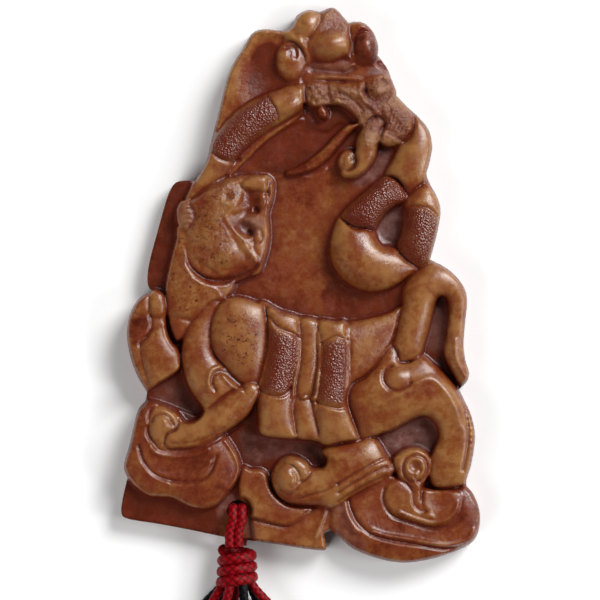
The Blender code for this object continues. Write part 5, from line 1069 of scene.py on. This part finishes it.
def serpentineMaterial():
    # Serpentine, carved with rotary points and rubbed to a waxy polish: ochre brown on the high parts, red
    # brown low down, darker red in the creases and hollows as painted shade, and purple grey where the
    # ground was only pecked, which in some hollows is painted shade and on some rough slopes a painted pale
    # sheen
    material, tree, shader = newMaterial("carved serpentine")
    place = addNode(tree, "ShaderNodeTexCoord").outputs["Object"]
    drawn = {name: addNode(tree, "ShaderNodeAttribute", {"attribute_name": name}).outputs["Fac"]
             for name in ("rise", "cavity", "crease", *carving["marks"])}
    grains = {"cloud": (6.0, 3.0, 0.5), "veins": (2.4, 5.0, 0.6), "mottle": (1.3, 8.0, 0.7),
              "crumbs": (0.65, 4.0, 0.6), "fine": (0.3, 4.0, 0.6)}
    noise = {}
    for name, (size, detail, rough) in grains.items():
        noise[name] = addNode(tree, "ShaderNodeTexNoise", {"Scale": 1 / (size * mm), "Detail": detail,
                              "Roughness": rough}, Vector=place).outputs["Fac"]
    # tone: ochre brown with height, darker red in hollows as painted shade, darker where the dark mark lies
    # (partly painted shade), mottled by noise
    tone = noise["cloud"]
    for value, weight in ((drawn["rise"], 0.5), (drawn["cavity"], 0.28), (noise["cloud"], 0.6),
                          (noise["mottle"], 1.6), (drawn["dark"], -0.7), (drawn["scales"], -0.2)):
        tone = addNode(tree, "ShaderNodeMath", {"operation": "MULTIPLY_ADD", 1: weight}, input0=value,
                       input2=tone).outputs[0]
    tone = addNode(tree, "ShaderNodeMapRange", {"From Min": 1.15, "From Max": 2.1}, Value=tone).outputs[0]
    body = addNode(tree, "ShaderNodeValToRGB", {"stops": [(0.0, "#451407"), (0.22, "#5c250f"),
                   (0.45, "#703517"), (0.70, "#7a441e"), (1.0, "#8c5d32")]}, Fac=tone).outputs["Color"]
    # rusty and pinkish stains
    rusty = addNode(tree, "ShaderNodeMapRange", {"From Min": 0.42, "From Max": 0.7, "To Max": 0.8},
                    Value=noise["veins"]).outputs[0]
    body = addNode(tree, "ShaderNodeMix", {"data_type": "RGBA", 7: linear("#682716")}, Factor=rusty,
                   input6=body).outputs[2]
    punchedTone = addNode(tree, "ShaderNodeMath", {"operation": "MULTIPLY", 1: 0.8}, input0=drawn["scales"])
    body = addNode(tree, "ShaderNodeMix", {"data_type": "RGBA", 7: linear("#561a12")},
                   Factor=punchedTone.outputs[0], input6=body).outputs[2]
    # painted shade: darker red where the level lies below its surroundings
    hollowShade = addNode(tree, "ShaderNodeMapRange", {"From Min": 0.5, "From Max": -0.6, "To Max": 0.5},
                    Value=drawn["cavity"]).outputs[0]
    body = addNode(tree, "ShaderNodeMix", {"data_type": "RGBA", 7: linear("#68290e")}, Factor=hollowShade,
                   input6=body).outputs[2]
    # painted shade: a dark red line at the foot of each wall
    creaseShade = addNode(tree, "ShaderNodeMapRange", {"From Min": -0.01, "From Max": -0.2, "To Max": 0.75},
                      Value=drawn["crease"]).outputs[0]
    body = addNode(tree, "ShaderNodeMix", {"data_type": "RGBA", 7: linear("#54190f")}, Factor=creaseShade,
                   input6=body).outputs[2]
    # purple grey of pecked ground on the grey mark, which in some hollows is painted shade and on some rough
    # slopes a painted pale sheen
    peckedShadeAndSheen = addNode(tree, "ShaderNodeValToRGB", {"stops": [(0.3, "#451c14"), (0.55, "#673b32"),
                     (0.75, "#84615a")]}, Fac=noise["mottle"]).outputs["Color"]
    body = addNode(tree, "ShaderNodeMix", {"data_type": "RGBA"}, Factor=drawn["grey"], input6=body,
                   input7=peckedShadeAndSheen).outputs[2]
    # pits and specks, thick on the heads and sparse elsewhere
    specks = addNode(tree, "ShaderNodeTexNoise", {"Scale": 1 / (0.55 * mm), "Detail": 2.0,
                     "Distortion": 1.5}, Vector=place).outputs["Fac"]
    speckled = addNode(tree, "ShaderNodeMath", {"operation": "MULTIPLY_ADD", 1: 0.15}, input0=drawn["pits"],
                       input2=specks).outputs[0]
    pitted = addNode(tree, "ShaderNodeMapRange", {"From Min": 0.74, "From Max": 0.80},
                     Value=speckled).outputs[0]
    colour = addNode(tree, "ShaderNodeMix", {"data_type": "RGBA", 7: linear("#43160c")}, Factor=pitted,
                     input6=body).outputs[2]
    tree.links.new(colour, shader.inputs["Base Color"])
    dull = noise["mottle"]
    for value, weight in ((drawn["grey"], 0.4), (drawn["rough"], 0.05)):
        dull = addNode(tree, "ShaderNodeMath", {"operation": "MULTIPLY_ADD", 1: weight}, input0=value,
                       input2=dull).outputs[0]
    rough = addNode(tree, "ShaderNodeMapRange", {"From Min": 0.3, "From Max": 1.1, "To Min": 0.16,
                    "To Max": 0.62}, Value=dull).outputs[0]
    tree.links.new(rough, shader.inputs["Roughness"])
    # fine scratches everywhere, pinholes sunk in, and the punched scales
    punches = addNode(tree, "ShaderNodeTexVoronoi", {"Scale": 1 / (0.31 * mm)},
                      Vector=place).outputs["Distance"]
    punched = addNode(tree, "ShaderNodeMath", {"operation": "MULTIPLY"}, input0=punches,
                      input1=drawn["scales"]).outputs[0]
    normal = None
    crumbled = addNode(tree, "ShaderNodeMath", {"operation": "MULTIPLY"}, input0=noise["crumbs"],
                       input1=drawn["rough"]).outputs[0]
    bumps = ((0.5, 0.14, noise["mottle"]), (0.45, 0.07, noise["fine"]), (0.9, 0.40, crumbled),
             (0.1, -0.02, pitted), (0.8, 0.18, punched))
    for strength, depth, height in bumps:
        bump = addNode(tree, "ShaderNodeBump", {"Strength": strength, "Distance": abs(depth) * mm,
                       "invert": depth < 0}, Height=height, **({"Normal": normal} if normal else {}))
        normal = bump.outputs["Normal"]
    tree.links.new(normal, shader.inputs["Normal"])
    shader.inputs["IOR"].default_value = 1.56
    return material


plaquePiece = carvedPlaque(serpentineMaterial())
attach(plaquePiece, "root")
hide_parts("carved_plaque")


# White paper floor, pale and plain
def paperMaterial():
    material, tree, shader = newMaterial("white paper")
    shader.inputs["Base Color"].default_value = linear("#f4f4f4")
    shader.inputs["Roughness"].default_value = 0.9
    return material


bm = bmesh.new()
bmesh.ops.create_grid(bm, x_segments=1, y_segments=1, size=2.0)
bmesh.ops.translate(bm, verts=bm.verts, vec=(0, 0, -0.05 * mm))
floor = newObject("floor", bm, paperMaterial())

# Soft boxes: the main one at the upper right, weaker ones at the right and the lower left
lights = {"key": {"from": (0.40, 0.41, 0.48), "size": 0.36, "watts": 6.7},
          "side": {"from": (0.60, -0.10, 0.40), "size": 0.22, "watts": 1.8},
          "fill": {"from": (-0.50, -0.34, 0.42), "size": 0.60, "watts": 3.6}}
for name, light in lights.items():
    data = bpy.data.lights.new(name, "AREA")
    data.energy = light["watts"]
    data.size = light["size"]
    lamp = bpy.data.objects.new(name, data)
    lamp.location = light["from"]
    lamp.rotation_mode = "QUATERNION"
    lamp.rotation_quaternion = (-Vector(light["from"])).to_track_quat("-Z", "Y")
    lamp.visible_glossy = name != "fill"
    bpy.context.collection.objects.link(lamp)
world = bpy.data.worlds.new("room")
world.use_nodes = True
world.node_tree.nodes["Background"].inputs["Color"].default_value = linear("#ffffff")
world.node_tree.nodes["Background"].inputs["Strength"].default_value = 0.06
bpy.context.scene.world = world
bpy.context.scene.view_settings.view_transform = "Standard"
stage("Stage and lights set")
